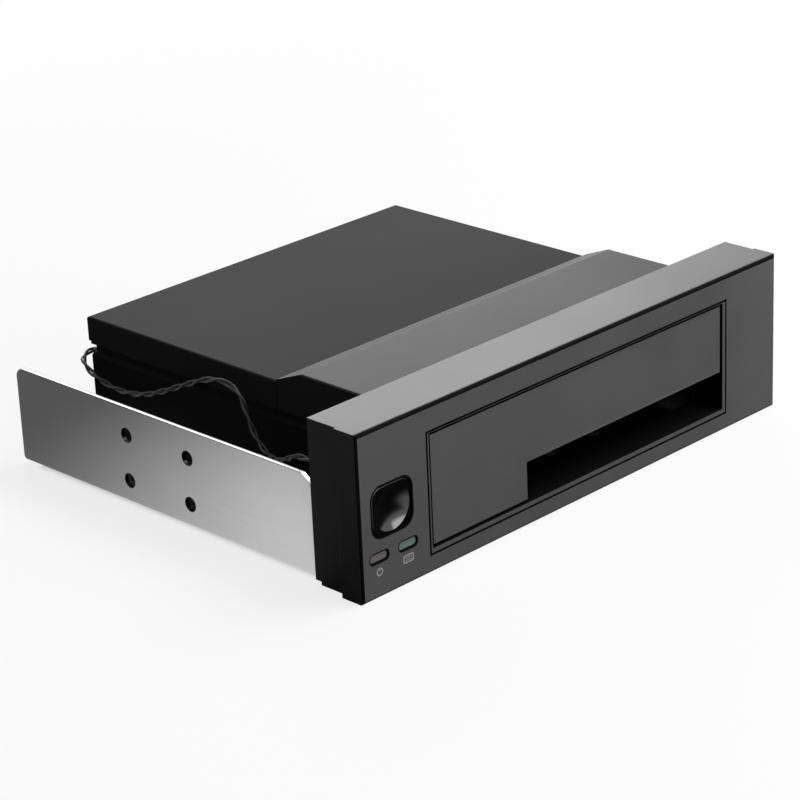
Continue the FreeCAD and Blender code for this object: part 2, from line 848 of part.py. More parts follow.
def centre_runner():
    """Low rail under the small drive's left edge, pegged into the floor."""
    front = case_front + guide_front_gap
    rail = prism_x([
        (front, floor_top),
        (front, guide_ledge - lead_in_depth),
        (front + lead_in, guide_ledge),
        (guide_rear, guide_ledge),
        (guide_rear, floor_top),
    ], slot_left - runner_width / 2, slot_left + runner_width / 2)
    pegs = [rod((x, y, case_bottom), (0, 0, 1), peg_radius, sheet) for x, y in peg_places()]
    return joined([rail] + pegs)


# ---------------------------------------------------------------- brackets
def bay_hole_places():
    """Middles (y, z) of the bay's four screw holes in a bracket."""
    return [(bay_hole_first_y + step_y * bay_hole_pitch_y, bay_hole_first_z + step_z * bay_hole_pitch_z)
            for step_y in (0, 1) for step_z in (0, 1)]


def side_bracket(gap):
    """Left bracket for a case that stands this far from the plate's outer face.

    A tall plate with the bay's holes, bent at its foot into a flange that is screwed
    under the tray.
    """
    outer = -bracket_outer
    plate = prism_x([
        (bracket_front, bracket_bottom),
        (bracket_front, bracket_top - bracket_chamfer_z),
        (bracket_front + bracket_chamfer_y, bracket_top),
        (bracket_rear, bracket_top),
        (bracket_rear, bracket_bottom),
    ], outer, outer + bracket_sheet)
    flange_end = outer + gap + flange_reach
    flange = prism_z([
        (outer, bracket_front),
        (flange_end, bracket_front),
        (flange_end, rear_wall_inner - flange_reach),
        (outer + gap, rear_wall_inner),
        (outer + gap, bracket_rear),
        (outer, bracket_rear),
    ], bracket_bottom, case_bottom)
    angle = joined([plate, flange])
    low = [edge.hashCode() for edge in edges_at(angle, "z", bracket_bottom)]
    bend = [edge for edge in edges_at(angle, "x", outer) if edge.hashCode() in low]
    angle = angle.makeFillet(bracket_bend, bend)
    high = [edge.hashCode() for edge in edges_at(angle, "z", bracket_top)]
    corner = [edge for edge in edges_at(angle, "y", bracket_rear) if edge.hashCode() in high]
    angle = angle.makeFillet(bracket_corner, corner)
    cuts = [rod((outer, y, z), (1, 0, 0), bay_hole_radius, bracket_sheet) for y, z in bay_hole_places()]
    for y in bracket_screw_y:
        cuts.append(shaft((outer + gap + bracket_screw_inset, y, bracket_bottom), (0, 0, 1),
                          screw_radius + screw_fit, case_bottom - bracket_bottom))
    return angle.cut(cuts)


def side_bracket_left():
    """Left bracket."""
    return side_bracket(case_left + bracket_outer)


def side_bracket_right():
    """Right bracket, bent the other way."""
    return mirrored(side_bracket(bracket_outer - case_right), 0)


# ---------------------------------------------------------------- screws
def bracket_screws():
    """Screws through flange and tray into the guides, their low heads level with the bezel's foot."""
    length = floor_top + bracket_screw_bite - bracket_bottom
    return group([screw((x, y, bracket_bottom), (0, 0, 1), thin_head_radius, bracket_bottom, length)
                  for x, y in bracket_screw_places()])


def bezel_screws():
    """Screws from behind through the tray's tabs into the bezel."""
    seat = case_front + sheet
    return group([screw((x, seat, z), (0, -1, 0), pan_head_radius, pan_head, bezel_screw_length)
                  for x, z in bezel_screw_places()])


def cover_screws():
    """Screws through the cover's rear lip into the rear wall."""
    return group([screw((x, case_rear, z), (0, -1, 0), pan_head_radius, pan_head, cover_screw_length)
                  for x, z in cover_screw_places()])


# ---------------------------------------------------------------- backplane
def backplane_board():
    """Circuit board across the tray's rear, on four standoffs."""
    board = box(case_middle - board_half, case_middle + board_half, board_front, board_rear,
                board_low, board_high)
    cuts = []
    cuts += [shaft((x, board_front, z), (0, 1, 0), screw_radius + screw_fit, board_sheet)
             for x, z in board_hole_places()]
    return board.cut(cuts)


def board_standoffs():
    """Hexagonal spacers between the board and the rear wall."""
    length = rear_wall_inner - board_rear
    shapes = []
    for x, z in board_hole_places():
        corners = [(x + standoff_radius * math.cos(math.radians(60 * step)),
                    z + standoff_radius * math.sin(math.radians(60 * step))) for step in range(6)]
        spacer = prism_y(corners, board_rear, rear_wall_inner)
        shapes.append(spacer.cut(shaft((x, board_rear, z), (0, 1, 0), screw_radius + screw_fit, length)))
    return group(shapes)


def backplane_screws():
    """Screws into both ends of each standoff."""
    bite = (rear_wall_inner - board_rear) / 2 - screw_fit
    shapes = []
    for x, z in board_hole_places():
        shapes.append(screw((x, board_front, z), (0, 1, 0), pan_head_radius, pan_head, board_sheet + bite))
        shapes.append(screw((x, rear_wall_outer, z), (0, -1, 0), pan_head_radius, pan_head, sheet + bite))
    return group(shapes)


def contact_row(pins):
    """Middles of a row of contacts, counted from the row's own middle."""
    return [(index - (pins - 1) / 2) * contact_pitch for index in range(pins)]


def socket_rows():
    """Middle and number of contacts of the socket's power row and data row."""
    span = (power_pins + data_pins) * contact_pitch
    power_x = socket_x + (span - power_pins * contact_pitch) / 2 + key_width
    data_x = socket_x - (span - data_pins * contact_pitch) / 2 - key_width
    return ((power_x, power_pins), (data_x, data_pins))


def keyed_pocket(x, z, pins, y0, y1):
    """L-shaped pocket for one keyed tongue and its contacts."""
    half = pins * contact_pitch / 2 + key_width / 2
    slit = box(x - half, x + half, y0, y1, z - pocket_height / 2, z + pocket_height / 2)
    key = box(x - half, x - half + key_width, y0, y1, z - pocket_height / 2 - key_height, z)
    return joined([slit, key])


def drive_socket():
    """Socket with an L-keyed power slit and data slit, and a lead-in post at each end."""
    front = board_front - socket_depth
    half = socket_width / 2
    low = socket_z - socket_height / 2
    high = socket_z + socket_height / 2
    body = box(socket_x - half, socket_x + half, front, board_front, low, high)
    pockets = [keyed_pocket(x, socket_z, pins, front, front + pocket_depth) for x, pins in socket_rows()]
    post = prism_z([
        (socket_x - half, front),
        (socket_x - half, front - post_depth / 2),
        (socket_x - half + post_depth / 2, front - post_depth),
        (socket_x - half + post_depth, front - post_depth),
        (socket_x - half + post_depth, front),
    ], low, high)
    return joined([body.cut(pockets), post, mirrored(post, socket_x)])


def drive_socket_contacts():
    """Spring contacts along the roof of the socket's slits."""
    front = board_front - socket_depth
    roof = socket_z + pocket_height / 2
    return group([box(x + place - contact_width / 2, x + place + contact_width / 2,
                      front + contact_width, front + pocket_depth, roof - contact_height, roof)
                  for x, pins in socket_rows() for place in contact_row(pins)])


def port(x, pins):
    """Rear port: shroud with a floor and an L-keyed tongue inside."""
    rear = rear_wall_outer + port_reach
    width = port_width(pins)
    body = box(x - width / 2, x + width / 2, board_rear, rear,
               port_z - port_height / 2, port_z + port_height / 2)
    cavity = box(x - width / 2 + port_wall, x + width / 2 - port_wall, rear - pocket_depth, rear,
                 port_z - port_height / 2 + port_wall, port_z + port_height / 2 - port_wall)
    tongue_left = x - pins * contact_pitch / 2
    tongue = box(tongue_left, tongue_left + pins * contact_pitch,
                 rear - pocket_depth, rear - contact_width,
                 port_z - tongue_height / 2, port_z + tongue_height / 2)
    hook = box(tongue_left, tongue_left + key_width, rear - pocket_depth, rear - contact_width,
               port_z - port_height / 2 + port_wall + contact_height, port_z)
    return joined([body.cut(cavity), tongue, hook])


def port_contacts(x, pins):
    """Contacts lying on a port's tongue."""
    rear = rear_wall_outer + port_reach
    top = port_z + tongue_height / 2
    return group([box(x + place - contact_width / 2, x + place + contact_width / 2,
                      rear - pocket_depth, rear - 2 * contact_width, top, top + contact_height / 2)
                  for place in contact_row(pins)])


def board_components():
    """Two capacitors, a coil and a regulator on the backplane's rear face."""
    cap_x = case_middle - standoff_high_reach + standoff_radius + cap_gap + cap_radius
    cap_pitch = 2 * cap_radius + cap_apart
    shapes = [rod((x, board_rear, vent_z), (0, 1, 0), cap_radius, cap_length)
              for x in (cap_x, cap_x + cap_pitch)]
    coil_x = case_middle + standoff_high_reach - standoff_radius - coil_gap - coil_size
    for x, depth in ((coil_x, coil_size / 2), (coil_x - 2 * coil_size, board_sheet)):
        shapes.append(box(x, x + coil_size, board_rear, board_rear + depth, vent_z, vent_z + coil_size))
    return group(shapes)


# ---------------------------------------------------------------- button, indicators, board
def power_button():
    """Hollow cap with a dished face, rounded corners and a retaining lip."""
    front = button_recess
    cap = rounded_y(button_x, button_z, button_width, button_height, button_corner, front, button_rear)
    lip_start = button_rear - button_lip_depth
    lip = rounded_y(button_x, button_z, button_width + 2 * button_lip, button_height + 2 * button_lip,
                    button_corner + button_lip, lip_start, button_rear)
    hollow = rounded_y(button_x, button_z,
                       button_width - 2 * button_wall, button_height - 2 * button_wall,
                       button_corner - button_wall, front + button_front_wall, button_rear)
    dish = Part.makeSphere(dish_radius, V(button_x, front + dish_depth - dish_radius, button_z))
    return joined([cap, lip]).cut([hollow, dish])


def switch_plunger():
    """Plunger between the cap and the switch."""
    start = button_recess + button_front_wall
    length = switch_front + plunger_depth - start
    return rod((button_x, start, button_z), (0, 1, 0), plunger_radius, length)


def power_switch():
    """Square switch body with the plunger's bore."""
    half = switch_size / 2
    body = box(button_x - half, button_x + half, switch_front, control_front,
               button_z - half, button_z + half)
    depth = plunger_depth + button_travel + plunger_fit
    bore = rod((button_x, switch_front, button_z), (0, 1, 0), plunger_radius + plunger_fit, depth)
    return body.cut(bore)


def pipe_flange_block(x, gap):
    """Flange of a light pipe, or with a gap the room that the bezel leaves for it."""
    half_w = window_width / 2 + gap
    half_h = window_height / 2 + pipe_flange + gap
    return box(x - half_w, x + half_w, face_wall, face_wall + pipe_flange_depth,
               window_z - half_h, window_z + half_h)


def light_pipe(x):
    """Clear window with a flange behind the face and a stem back to its lamp."""
    window = rounded_y(x, window_z, window_width - 2 * window_gap, window_height - 2 * window_gap,
                       window_corner - window_gap, flap_recess, face_wall)
    flange_rear = face_wall + pipe_flange_depth
    half_w = window_width / 2 - pipe_stem_inset
    half_h = window_height / 2 - pipe_stem_inset / 2
    stem = box(x - half_w, x + half_w, flange_rear, pipe_rear, window_z - half_h, window_z + half_h)
    return joined([window, pipe_flange_block(x, 0), stem])


def light_pipe_power():
    """Light pipe of the power window."""
    return light_pipe(power_window_x)


def light_pipe_access():
    """Light pipe of the access window."""
    return light_pipe(access_window_x)


def indicator_leds():
    """Two small lamps on the control board."""
    return group([box(x - led_width / 2, x + led_width / 2, pipe_rear + led_gap, control_front,
                      window_z - led_height / 2, window_z + led_height / 2)
                  for x in (power_window_x, access_window_x)])


def control_board():
    """Upright board that carries the switch, the lamps and the lead's header."""
    board = box(control_left, control_left + control_width, control_front, control_rear,
                control_low, control_high)
    return board.cut([shaft((x, control_front, z), (0, 1, 0), control_screw_radius + screw_fit, board_sheet)
                      for x, z in control_screw_places()])


def control_screws():
    """Small screws that hold the control board to its bosses."""
    shapes = []
    for x, z in control_screw_places():
        head = rod((x, control_rear, z), (0, 1, 0), control_head_radius, control_head)
        shank = shaft((x, control_rear, z), (0, -1, 0), control_screw_radius,
                    board_sheet + control_screw_bite)
        shapes.append(joined([head, shank]))
    return group(shapes)


# ---------------------------------------------------------------- lead
def header(x, z, board_face, depth):
    """Shrouded header on a board, open towards the plug."""
    half_w = plug_width / 2 + plug_gap
    half_h = plug_height / 2 + plug_gap
    body = box(x - half_w - header_wall, x + half_w + header_wall, board_face, board_face + depth,
               z - half_h - header_wall, z + half_h + header_wall)
    return body.cut(box(x - half_w, x + half_w, board_face + header_floor, board_face + depth,
                        z - half_h, z + half_h))


def plug(x, z, start, end):
    """Crimp housing that seats on the header's floor."""
    half_w = plug_width / 2
    half_h = plug_height / 2
    key = box(x - half_w / 2, x + half_w / 2, start + header_depth, end, z + half_h, z + half_h + plug_gap)
    return joined([box(x - half_w, x + half_w, start, end, z - half_h, z + half_h), key])


def lead_header_front():
    """Header on the control board's rear face."""
    return header(front_plug_x, front_plug_z, control_rear, header_depth)


def lead_header_rear():
    """Header on the backplane's rear face, reaching the hole in the rear wall."""
    return header(rear_plug_x, rear_plug_z, board_rear, rear_wall_outer - board_rear)


def lead_plug_front():
    """Plug behind the bezel."""
    start = control_rear + header_floor
    return plug(front_plug_x, front_plug_z, start, start + front_plug_length)


def lead_plug_rear():
    """Plug in the rear wall, its wires leaving sideways."""
    return plug(rear_plug_x, rear_plug_z, board_rear + header_floor, rear_plug_end)


def lead_path():
    """Wire of the lead: straight runs joined by tangent arcs."""
    points = [V(*point) for point in lead_route]
    edges = []
    here = points[0]
    for before, corner, after in zip(points, points[1:], points[2:]):
        arriving = corner - before
        leaving = after - corner
        turn = arriving.getAngle(leaving)
        cut_back = arc_share * min(arriving.Length, leaving.Length)
        radius = cut_back / math.tan(turn / 2)
        arriving.normalize()
        leaving.normalize()
        start = corner - arriving * cut_back
        end = corner + leaving * cut_back
        inward = leaving - arriving
        inward.normalize()
        middle = corner + inward * (radius / math.cos(turn / 2) - radius)
        edges.append(Part.LineSegment(here, start).toShape())
        edges.append(Part.Arc(start, middle, end).toShape())
        print("lead bend radius %.1f mm" % radius)
        here = end
    edges.append(Part.LineSegment(here, points[-1]).toShape())
    return Part.Wire(edges)


def indicator_lead():
    """Stand-in for the twisted wires between the two boards, an even-sided bar along the route."""
    path = lead_path()
    start = V(*lead_route[0])
    heading = V(*lead_route[1]) - start
    heading.normalize()
    side = heading.cross(V(0, 0, 1))
    rise = side.cross(heading)
    angles = [2 * math.pi * step / lead_sides for step in range(lead_sides)]
    reach = lead_diameter / 2
    corners = [start + side * (reach * math.cos(angle)) + rise * (reach * math.sin(angle))
               for angle in angles]
    section = Part.makePolygon(corners + corners[:1])
    tube = path.makePipeShell([section], True, False)
    area = Part.Face(section).Area
    print("lead length %.1f mm, volume check %.3f" % (path.Length, tube.Volume / (path.Length * area)))
    return tube


# ---------------------------------------------------------------- the parts
def build_all():
    """Every node's name and shape."""
    left_spring_x = flap_left + knuckle_length + spring_gap
    right_spring_x = flap_right - knuckle_length - spring_gap - spring_length
    return {
        "front_bezel": front_bezel(),
        "drive_flap": drive_flap(),
        "flap_hinge_pin": flap_hinge_pin(),
        "flap_spring_left": flap_spring(left_spring_x),
        "flap_spring_right": flap_spring(right_spring_x),
        "flap_hood": flap_hood(),
        "top_cover": top_cover(),
        "chassis_tray": chassis_tray(),
        "drive_guide_left": drive_guide_left(),
        "drive_guide_right": drive_guide_right(),
        "centre_runner": centre_runner(),
        "side_bracket_left": side_bracket_left(),
        "side_bracket_right": side_bracket_right(),
        "bracket_screws": bracket_screws(),
        "bezel_screws": bezel_screws(),
        "cover_screws": cover_screws(),
        "backplane_board": backplane_board(),
        "board_standoffs": board_standoffs(),
        "backplane_screws": backplane_screws(),
        "board_components": board_components(),
        "drive_socket": drive_socket(),
        "drive_socket_contacts": drive_socket_contacts(),
        "data_port": port(data_port_x, data_pins),
        "data_port_contacts": port_contacts(data_port_x, data_pins),
        "power_port": port(power_port_x, power_pins),
        "power_port_contacts": port_contacts(power_port_x, power_pins),
        "lead_header_rear": lead_header_rear(),
        "lead_plug_rear": lead_plug_rear(),
        "indicator_lead": indicator_lead(),
        "lead_plug_front": lead_plug_front(),
        "lead_header_front": lead_header_front(),
        "control_board": control_board(),
        "control_screws": control_screws(),
        "power_switch": power_switch(),
        "switch_plunger": switch_plunger(),
        "power_button": power_button(),
        "light_pipe_power": light_pipe_power(),
        "light_pipe_access": light_pipe_access(),
        "indicator_leds": indicator_leds(),
    }


def save(name, shape):
    """Move a shape from the building datum to the base's middle and write its file."""
    moved = shape.copy()
    moved.translate(V(0, -bracket_rear / 2, 0))
    moved.exportStep("parts/%s.step" % name)


os.makedirs("parts", exist_ok=True)
for node, solid in build_all().items():
    if not solid.isValid():
        print("not valid:", node)
    save(node, solid)
    print("%-24s solids %2d  volume %10.1f" % (node, len(solid.Solids), solid.Volume))
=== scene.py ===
"""Dressed look of a trayless hot swap drive cage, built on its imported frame.

Everything is in metres in the frame's own axes: X to the right seen from the front, Y to the
rear and Z up, with the origin in the middle of the footprint.
"""

import logging
import math
from collections.abc import Sequence
from dataclasses import dataclass
from enum import Enum

import bmesh
import bpy
import numpy as np
from mathutils import Matrix, Vector


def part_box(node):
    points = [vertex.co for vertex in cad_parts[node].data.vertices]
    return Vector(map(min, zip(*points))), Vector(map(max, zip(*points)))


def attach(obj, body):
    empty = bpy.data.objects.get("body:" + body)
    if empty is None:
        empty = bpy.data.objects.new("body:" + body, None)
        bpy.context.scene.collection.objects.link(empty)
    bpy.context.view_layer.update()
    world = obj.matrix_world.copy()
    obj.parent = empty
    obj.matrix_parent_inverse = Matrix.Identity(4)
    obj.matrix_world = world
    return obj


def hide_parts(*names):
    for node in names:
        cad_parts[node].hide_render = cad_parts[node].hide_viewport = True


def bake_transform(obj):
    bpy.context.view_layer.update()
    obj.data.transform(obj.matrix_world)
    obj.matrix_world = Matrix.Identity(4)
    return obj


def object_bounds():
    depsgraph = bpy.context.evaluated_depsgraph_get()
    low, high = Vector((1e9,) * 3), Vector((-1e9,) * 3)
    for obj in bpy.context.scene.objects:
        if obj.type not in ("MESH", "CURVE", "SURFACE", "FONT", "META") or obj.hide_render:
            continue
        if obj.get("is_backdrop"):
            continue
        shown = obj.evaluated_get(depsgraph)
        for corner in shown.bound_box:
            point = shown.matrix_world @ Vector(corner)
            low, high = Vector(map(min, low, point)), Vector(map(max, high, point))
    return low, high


LOG = logging.getLogger("drive_cage")
MM = 0.001
FRONT_Y = -60.7 * MM          # the bezel's face in the frame's Y
CAGE = "cage"

Colour = tuple[float, float, float]
BLACK: Colour = (0.0, 0.0, 0.0)
WHITE: Colour = (1.0, 1.0, 1.0)


def grey(level: float) -> Colour:
    """Neutral colour of one level."""
    return (level, level, level)


def box_middle(name: str) -> tuple[float, float]:
    """X and Z of the middle of a node's box."""
    low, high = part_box(name)
    return (low.x + high.x) / 2, (low.z + high.z) / 2


# Black of painted shade, for the sides, the gaps and the openings
SHADE_BLACK: dict = {"Base Color": grey(0.0025), "Roughness": 0.6, "Specular IOR Level": 0.03}


# ------------------------------------------------------------------ shader expressions
class Expr:
    """One shader socket; sums and products of it add Math nodes."""

    def __init__(self, graph: "Graph", socket: bpy.types.NodeSocket) -> None:
        """Wraps an output socket of the graph."""
        self.graph = graph
        self.socket = socket

    def math(self, operation: str, *values: "Expr | float") -> "Expr":
        """Math node on these values, not clamped.

        Args:
            operation: Blender's name of the operation.
            values: the node's inputs in order.

        Returns:
            The node's result.
        """
        return self.graph.node("ShaderNodeMath", {"operation": operation}, dict(enumerate(values)))

    def __add__(self, other: "Expr | float") -> "Expr":
        """self + other"""
        return self.math("ADD", self, other)

    def __radd__(self, other: float) -> "Expr":
        """other + self"""
        return self.math("ADD", other, self)

    def __sub__(self, other: "Expr | float") -> "Expr":
        """self - other"""
        return self.math("SUBTRACT", self, other)

    def __rsub__(self, other: float) -> "Expr":
        """other - self"""
        return self.math("SUBTRACT", other, self)

    def __mul__(self, other: "Expr | float") -> "Expr":
        """self * other"""
        return self.math("MULTIPLY", self, other)

    def __abs__(self) -> "Expr":
        """Size without sign."""
        return self.math("ABSOLUTE", self)

    def root(self) -> "Expr":
        """Square root."""
        return self.math("SQRT", self)

    def highest(self, other: "Expr | float") -> "Expr":
        """The larger of two."""
        return self.math("MAXIMUM", self, other)

    def ramp(self, start: float, end: float, low: float = 0.0, high: float = 1.0) -> "Expr":
        """Smooth step from low to high as the value goes from start to end.

        Args:
            start: value at which the result is still low.
            end: value at which it is high.
            low: result before the step.
            high: result after it.

        Returns:
            The smoothed value.
        """
        return self.graph.node(
            "ShaderNodeMapRange", {"interpolation_type": "SMOOTHSTEP"},
            {"Value": self, "From Min": start, "From Max": end, "To Min": low, "To Max": high})


class Graph:
    """Node tree of one material or of the world, with the few nodes that the finishes share."""

    edge_lean = (0.02, 0.2)     # of the rounded normal, where an edge begins and is whole
    side_lean = (0.8, 0.95)     # of the normal to left or right, the same for a side

    def __init__(self, tree: bpy.types.NodeTree) -> None:
        """Empties the tree."""
        tree.nodes.clear()
        self.tree = tree

    def node(self, kind: str, settings: dict | None = None, inputs: dict | None = None,
             out: int | str = 0) -> Expr:
        """Adds one node.

        Args:
            kind: Blender's type name of the node.
            settings: attributes, set before the sockets.
            inputs: values or expressions by the socket's name or index.
            out: name or index of the output that is wanted.

        Returns:
            That output as an expression.
        """
        made = self.tree.nodes.new(kind)
        for key, value in (settings or {}).items():
            setattr(made, key, value)
        for key, value in (inputs or {}).items():
            socket = made.inputs[key]
            if isinstance(value, Expr):
                self.tree.links.new(value.socket, socket)
            elif isinstance(value, tuple) and len(value) == 3 and socket.type == "RGBA":
                socket.default_value = (*value, 1.0)
            else:
                socket.default_value = value
        return Expr(self, made.outputs[out]) if made.outputs else Expr(self, None)

    def place(self) -> Expr:
        """Object coordinates, which are the frame's own."""
        return self.node("ShaderNodeTexCoord", out="Object")

    def axes(self) -> tuple[Expr, Expr, Expr]:
        """The place on the surface, axis by axis.

        Returns:
            X, Y and Z.
        """
        parts = self.node("ShaderNodeSeparateXYZ", None, {0: self.place()})
        outputs = parts.socket.node.outputs
        return tuple(Expr(self, outputs[index]) for index in range(3))

    def normal(self) -> Expr:
        """The surface's own normal."""
        return self.node("ShaderNodeNewGeometry", out="Normal")

    def facing(self, axis: str) -> Expr:
        """The part of the surface's normal along one axis, "X", "Y" or "Z"."""
        return self.node("ShaderNodeSeparateXYZ", None, {0: self.normal()}, out=axis)

    def ray(self, kind: str) -> Expr:
        """1 for rays of one kind, "Camera", "Glossy" or "Transmission", 0 for others."""
        return self.node("ShaderNodeLightPath", out=f"Is {kind} Ray")

    def stretched(self, scale: Sequence[float], turn: Sequence[float] = (0, 0, 0)) -> Expr:
        """Object coordinates scaled by axis, for grain that runs one way."""
        return self.node("ShaderNodeMapping", None,
                         {"Vector": self.place(), "Scale": tuple(scale), "Rotation": tuple(turn)})

    def noise(self, scale: float, detail: float = 3.0, roughness: float = 0.5,
              vector: Expr | None = None) -> Expr:
        """Fractal noise from 0 to 1 at this many features a metre."""
        return self.node("ShaderNodeTexNoise", None,
                         {"Vector": vector or self.place(), "Scale": scale, "Detail": detail,
                          "Roughness": roughness})

    def cells(self, scale: float, vector: Expr | None = None) -> Expr:
        """Distance from the middle of the nearest cell, at this many cells a metre."""
        return self.node("ShaderNodeTexVoronoi", None,
                         {"Vector": vector or self.place(), "Scale": scale}, out="Distance")

    def mix(self, factor: Expr | float, first: Expr | Colour, second: Expr | Colour) -> Expr:
        """Colour between two, by the factor."""
        inputs = {0: factor, 6: first, 7: second}
        return self.node("ShaderNodeMix", {"data_type": "RGBA"}, inputs, out=2)

    def scaled(self, colour: Expr | Colour, share: Expr) -> Expr:
        """The colour, brighter or darker by a share."""
        return self.node("ShaderNodeVectorMath", {"operation": "SCALE"},
                         {0: colour, "Scale": share})

    def mixed(self, share: Expr, first: Expr, second: Expr) -> Expr:
        """Shader between two, by a share of the second."""
        return self.node("ShaderNodeMixShader", None, {0: share, 1: first, 2: second})

    def bevel(self, radius: float, samples: int = 6) -> Expr:
        """Normal over edges that look rounded by the radius."""
        return self.node("ShaderNodeBevel", {"samples": samples}, {"Radius": radius})

    def edges(self, radius: float) -> Expr:
        """0 on flats, rising to 1 at an edge within this radius.

        The Bevel node's rounded normal leans away from the true one near an edge; one less
        their dot product is 0.29 at a square edge.

        Args:
            radius: how far the rubbed band reaches from the edge.

        Returns:
            How near the edge is.
        """
        lean = self.node("ShaderNodeVectorMath", {"operation": "DOT_PRODUCT"},
                         {0: self.bevel(radius, 8), 1: self.normal()}, out="Value")
        return (1.0 - lean).ramp(*self.edge_lean)

    def bump(self, height: Expr, distance: float, radius: float = 0.0,
             normal: Expr | None = None) -> Expr:
        """Normal pushed about by a height, over edges that look rounded by the radius.

        Args:
            height: 0 to 1.
            distance: what 1 stands for, in metres.
            radius: rounding of the edges, or 0 for none.
            normal: what is pushed about, in place of the rounded edges.

        Returns:
            The normal.
        """
        inputs: dict = {"Height": height, "Distance": distance, "Strength": 1.0}
        if radius or normal:
            inputs["Normal"] = normal or self.bevel(radius)
        return self.node("ShaderNodeBump", None, inputs)

    def sides(self, share: float) -> Expr:
        """This share where the surface faces left or right, 0 elsewhere: the mask of the painted
        side shade.
        """
        return abs(self.facing("X")).ramp(*self.side_lean, 0.0, share)

    def painted_shade(self, shader: Expr, share: Expr) -> Expr:
        """The shader, giving way to the black of painted shade by a share."""
        return self.mixed(share, shader, self.node("ShaderNodeBsdfPrincipled", None, SHADE_BLACK))

    def surface(self, shader: Expr) -> None:
        """Ends the material in this shader."""
        self.node("ShaderNodeOutputMaterial", None, {"Surface": shader})


# ------------------------------------------------------------------ finishes
@dataclass(frozen=True)
class Finish:
    """What every finish has: a name, a colour and a gloss, and what it adds to the shader."""

    name: str
    colour: Colour
    roughness: float = 0.5
    specular: float = 0.5
    metallic: float = 0.0
    painted_side_shade: float = 0.0     # how much a black of painted shade takes over on the left and right sides

    def shader(self, graph: Graph) -> dict:
        """Inputs of the shader that vary over the surface."""
        return {}

    def constants(self) -> dict:
        """Inputs of the shader that are the same all over."""
        return {}

    def ended(self, graph: Graph, shader: Expr) -> Expr:
        """What the material ends in: the shader, with painted shade on its sides where the finish
        has it.
        """
        return graph.painted_shade(shader, graph.sides(self.painted_side_shade)) if self.painted_side_shade else shader

    def make(self) -> bpy.types.Material:
        """Builds the material.

        Returns:
            The material, with one Principled shader and what the finish adds.
        """
        material = bpy.data.materials.new(self.name)
        material.use_nodes = True
        graph = Graph(material.node_tree)
        inputs = {"Base Color": self.colour, "Roughness": self.roughness,
                  "Specular IOR Level": self.specular, "Metallic": self.metallic}
        inputs.update(self.constants())
        inputs.update(self.shader(graph))
        graph.surface(self.ended(graph, graph.node("ShaderNodeBsdfPrincipled", None, inputs)))
        return material


@dataclass(frozen=True)
class Moulding(Finish):
    """Moulded plastic: fine spark grain, faint flow clouds, worn and slightly shinier edges."""

    grain: float = 2600.0       # grains a metre
    clouds: float = 38.0        # flow clouds a metre
    grain_shade: tuple[float, float] = (0.95, 1.05)  # darkest and palest, of the colour
    cloud_shade: tuple[float, float] = (0.93, 1.07)
    depth: float = 0.02 * MM    # of the grain
    edge: float = 0.25 * MM     # reach of a worn edge
    worn: float = 0.25          # how much paler it is

    def shader(self, graph: Graph) -> dict:
        """Grain, clouds and edges of the moulding.

        Args:
            graph: the material's nodes.

        Returns:
            The shader's inputs that vary over the surface.
        """
        clouds = graph.noise(self.clouds, 3.0, 0.6)
        grains = graph.noise(self.grain, 2.0, 0.6)
        edge = graph.edges(self.edge)
        shade = (clouds.ramp(0.25, 0.75, *self.cloud_shade)
                 * grains.ramp(0.3, 0.7, *self.grain_shade) * (1.0 + edge * self.worn))
        tint = graph.scaled(self.colour, shade)
        gloss = self.roughness + (clouds - 0.5) * 0.08 + (grains - 0.5) * 0.06 - edge * 0.06
        return {"Base Color": tint, "Roughness": gloss,
                "Normal": graph.bump(grains, self.depth, self.edge)}


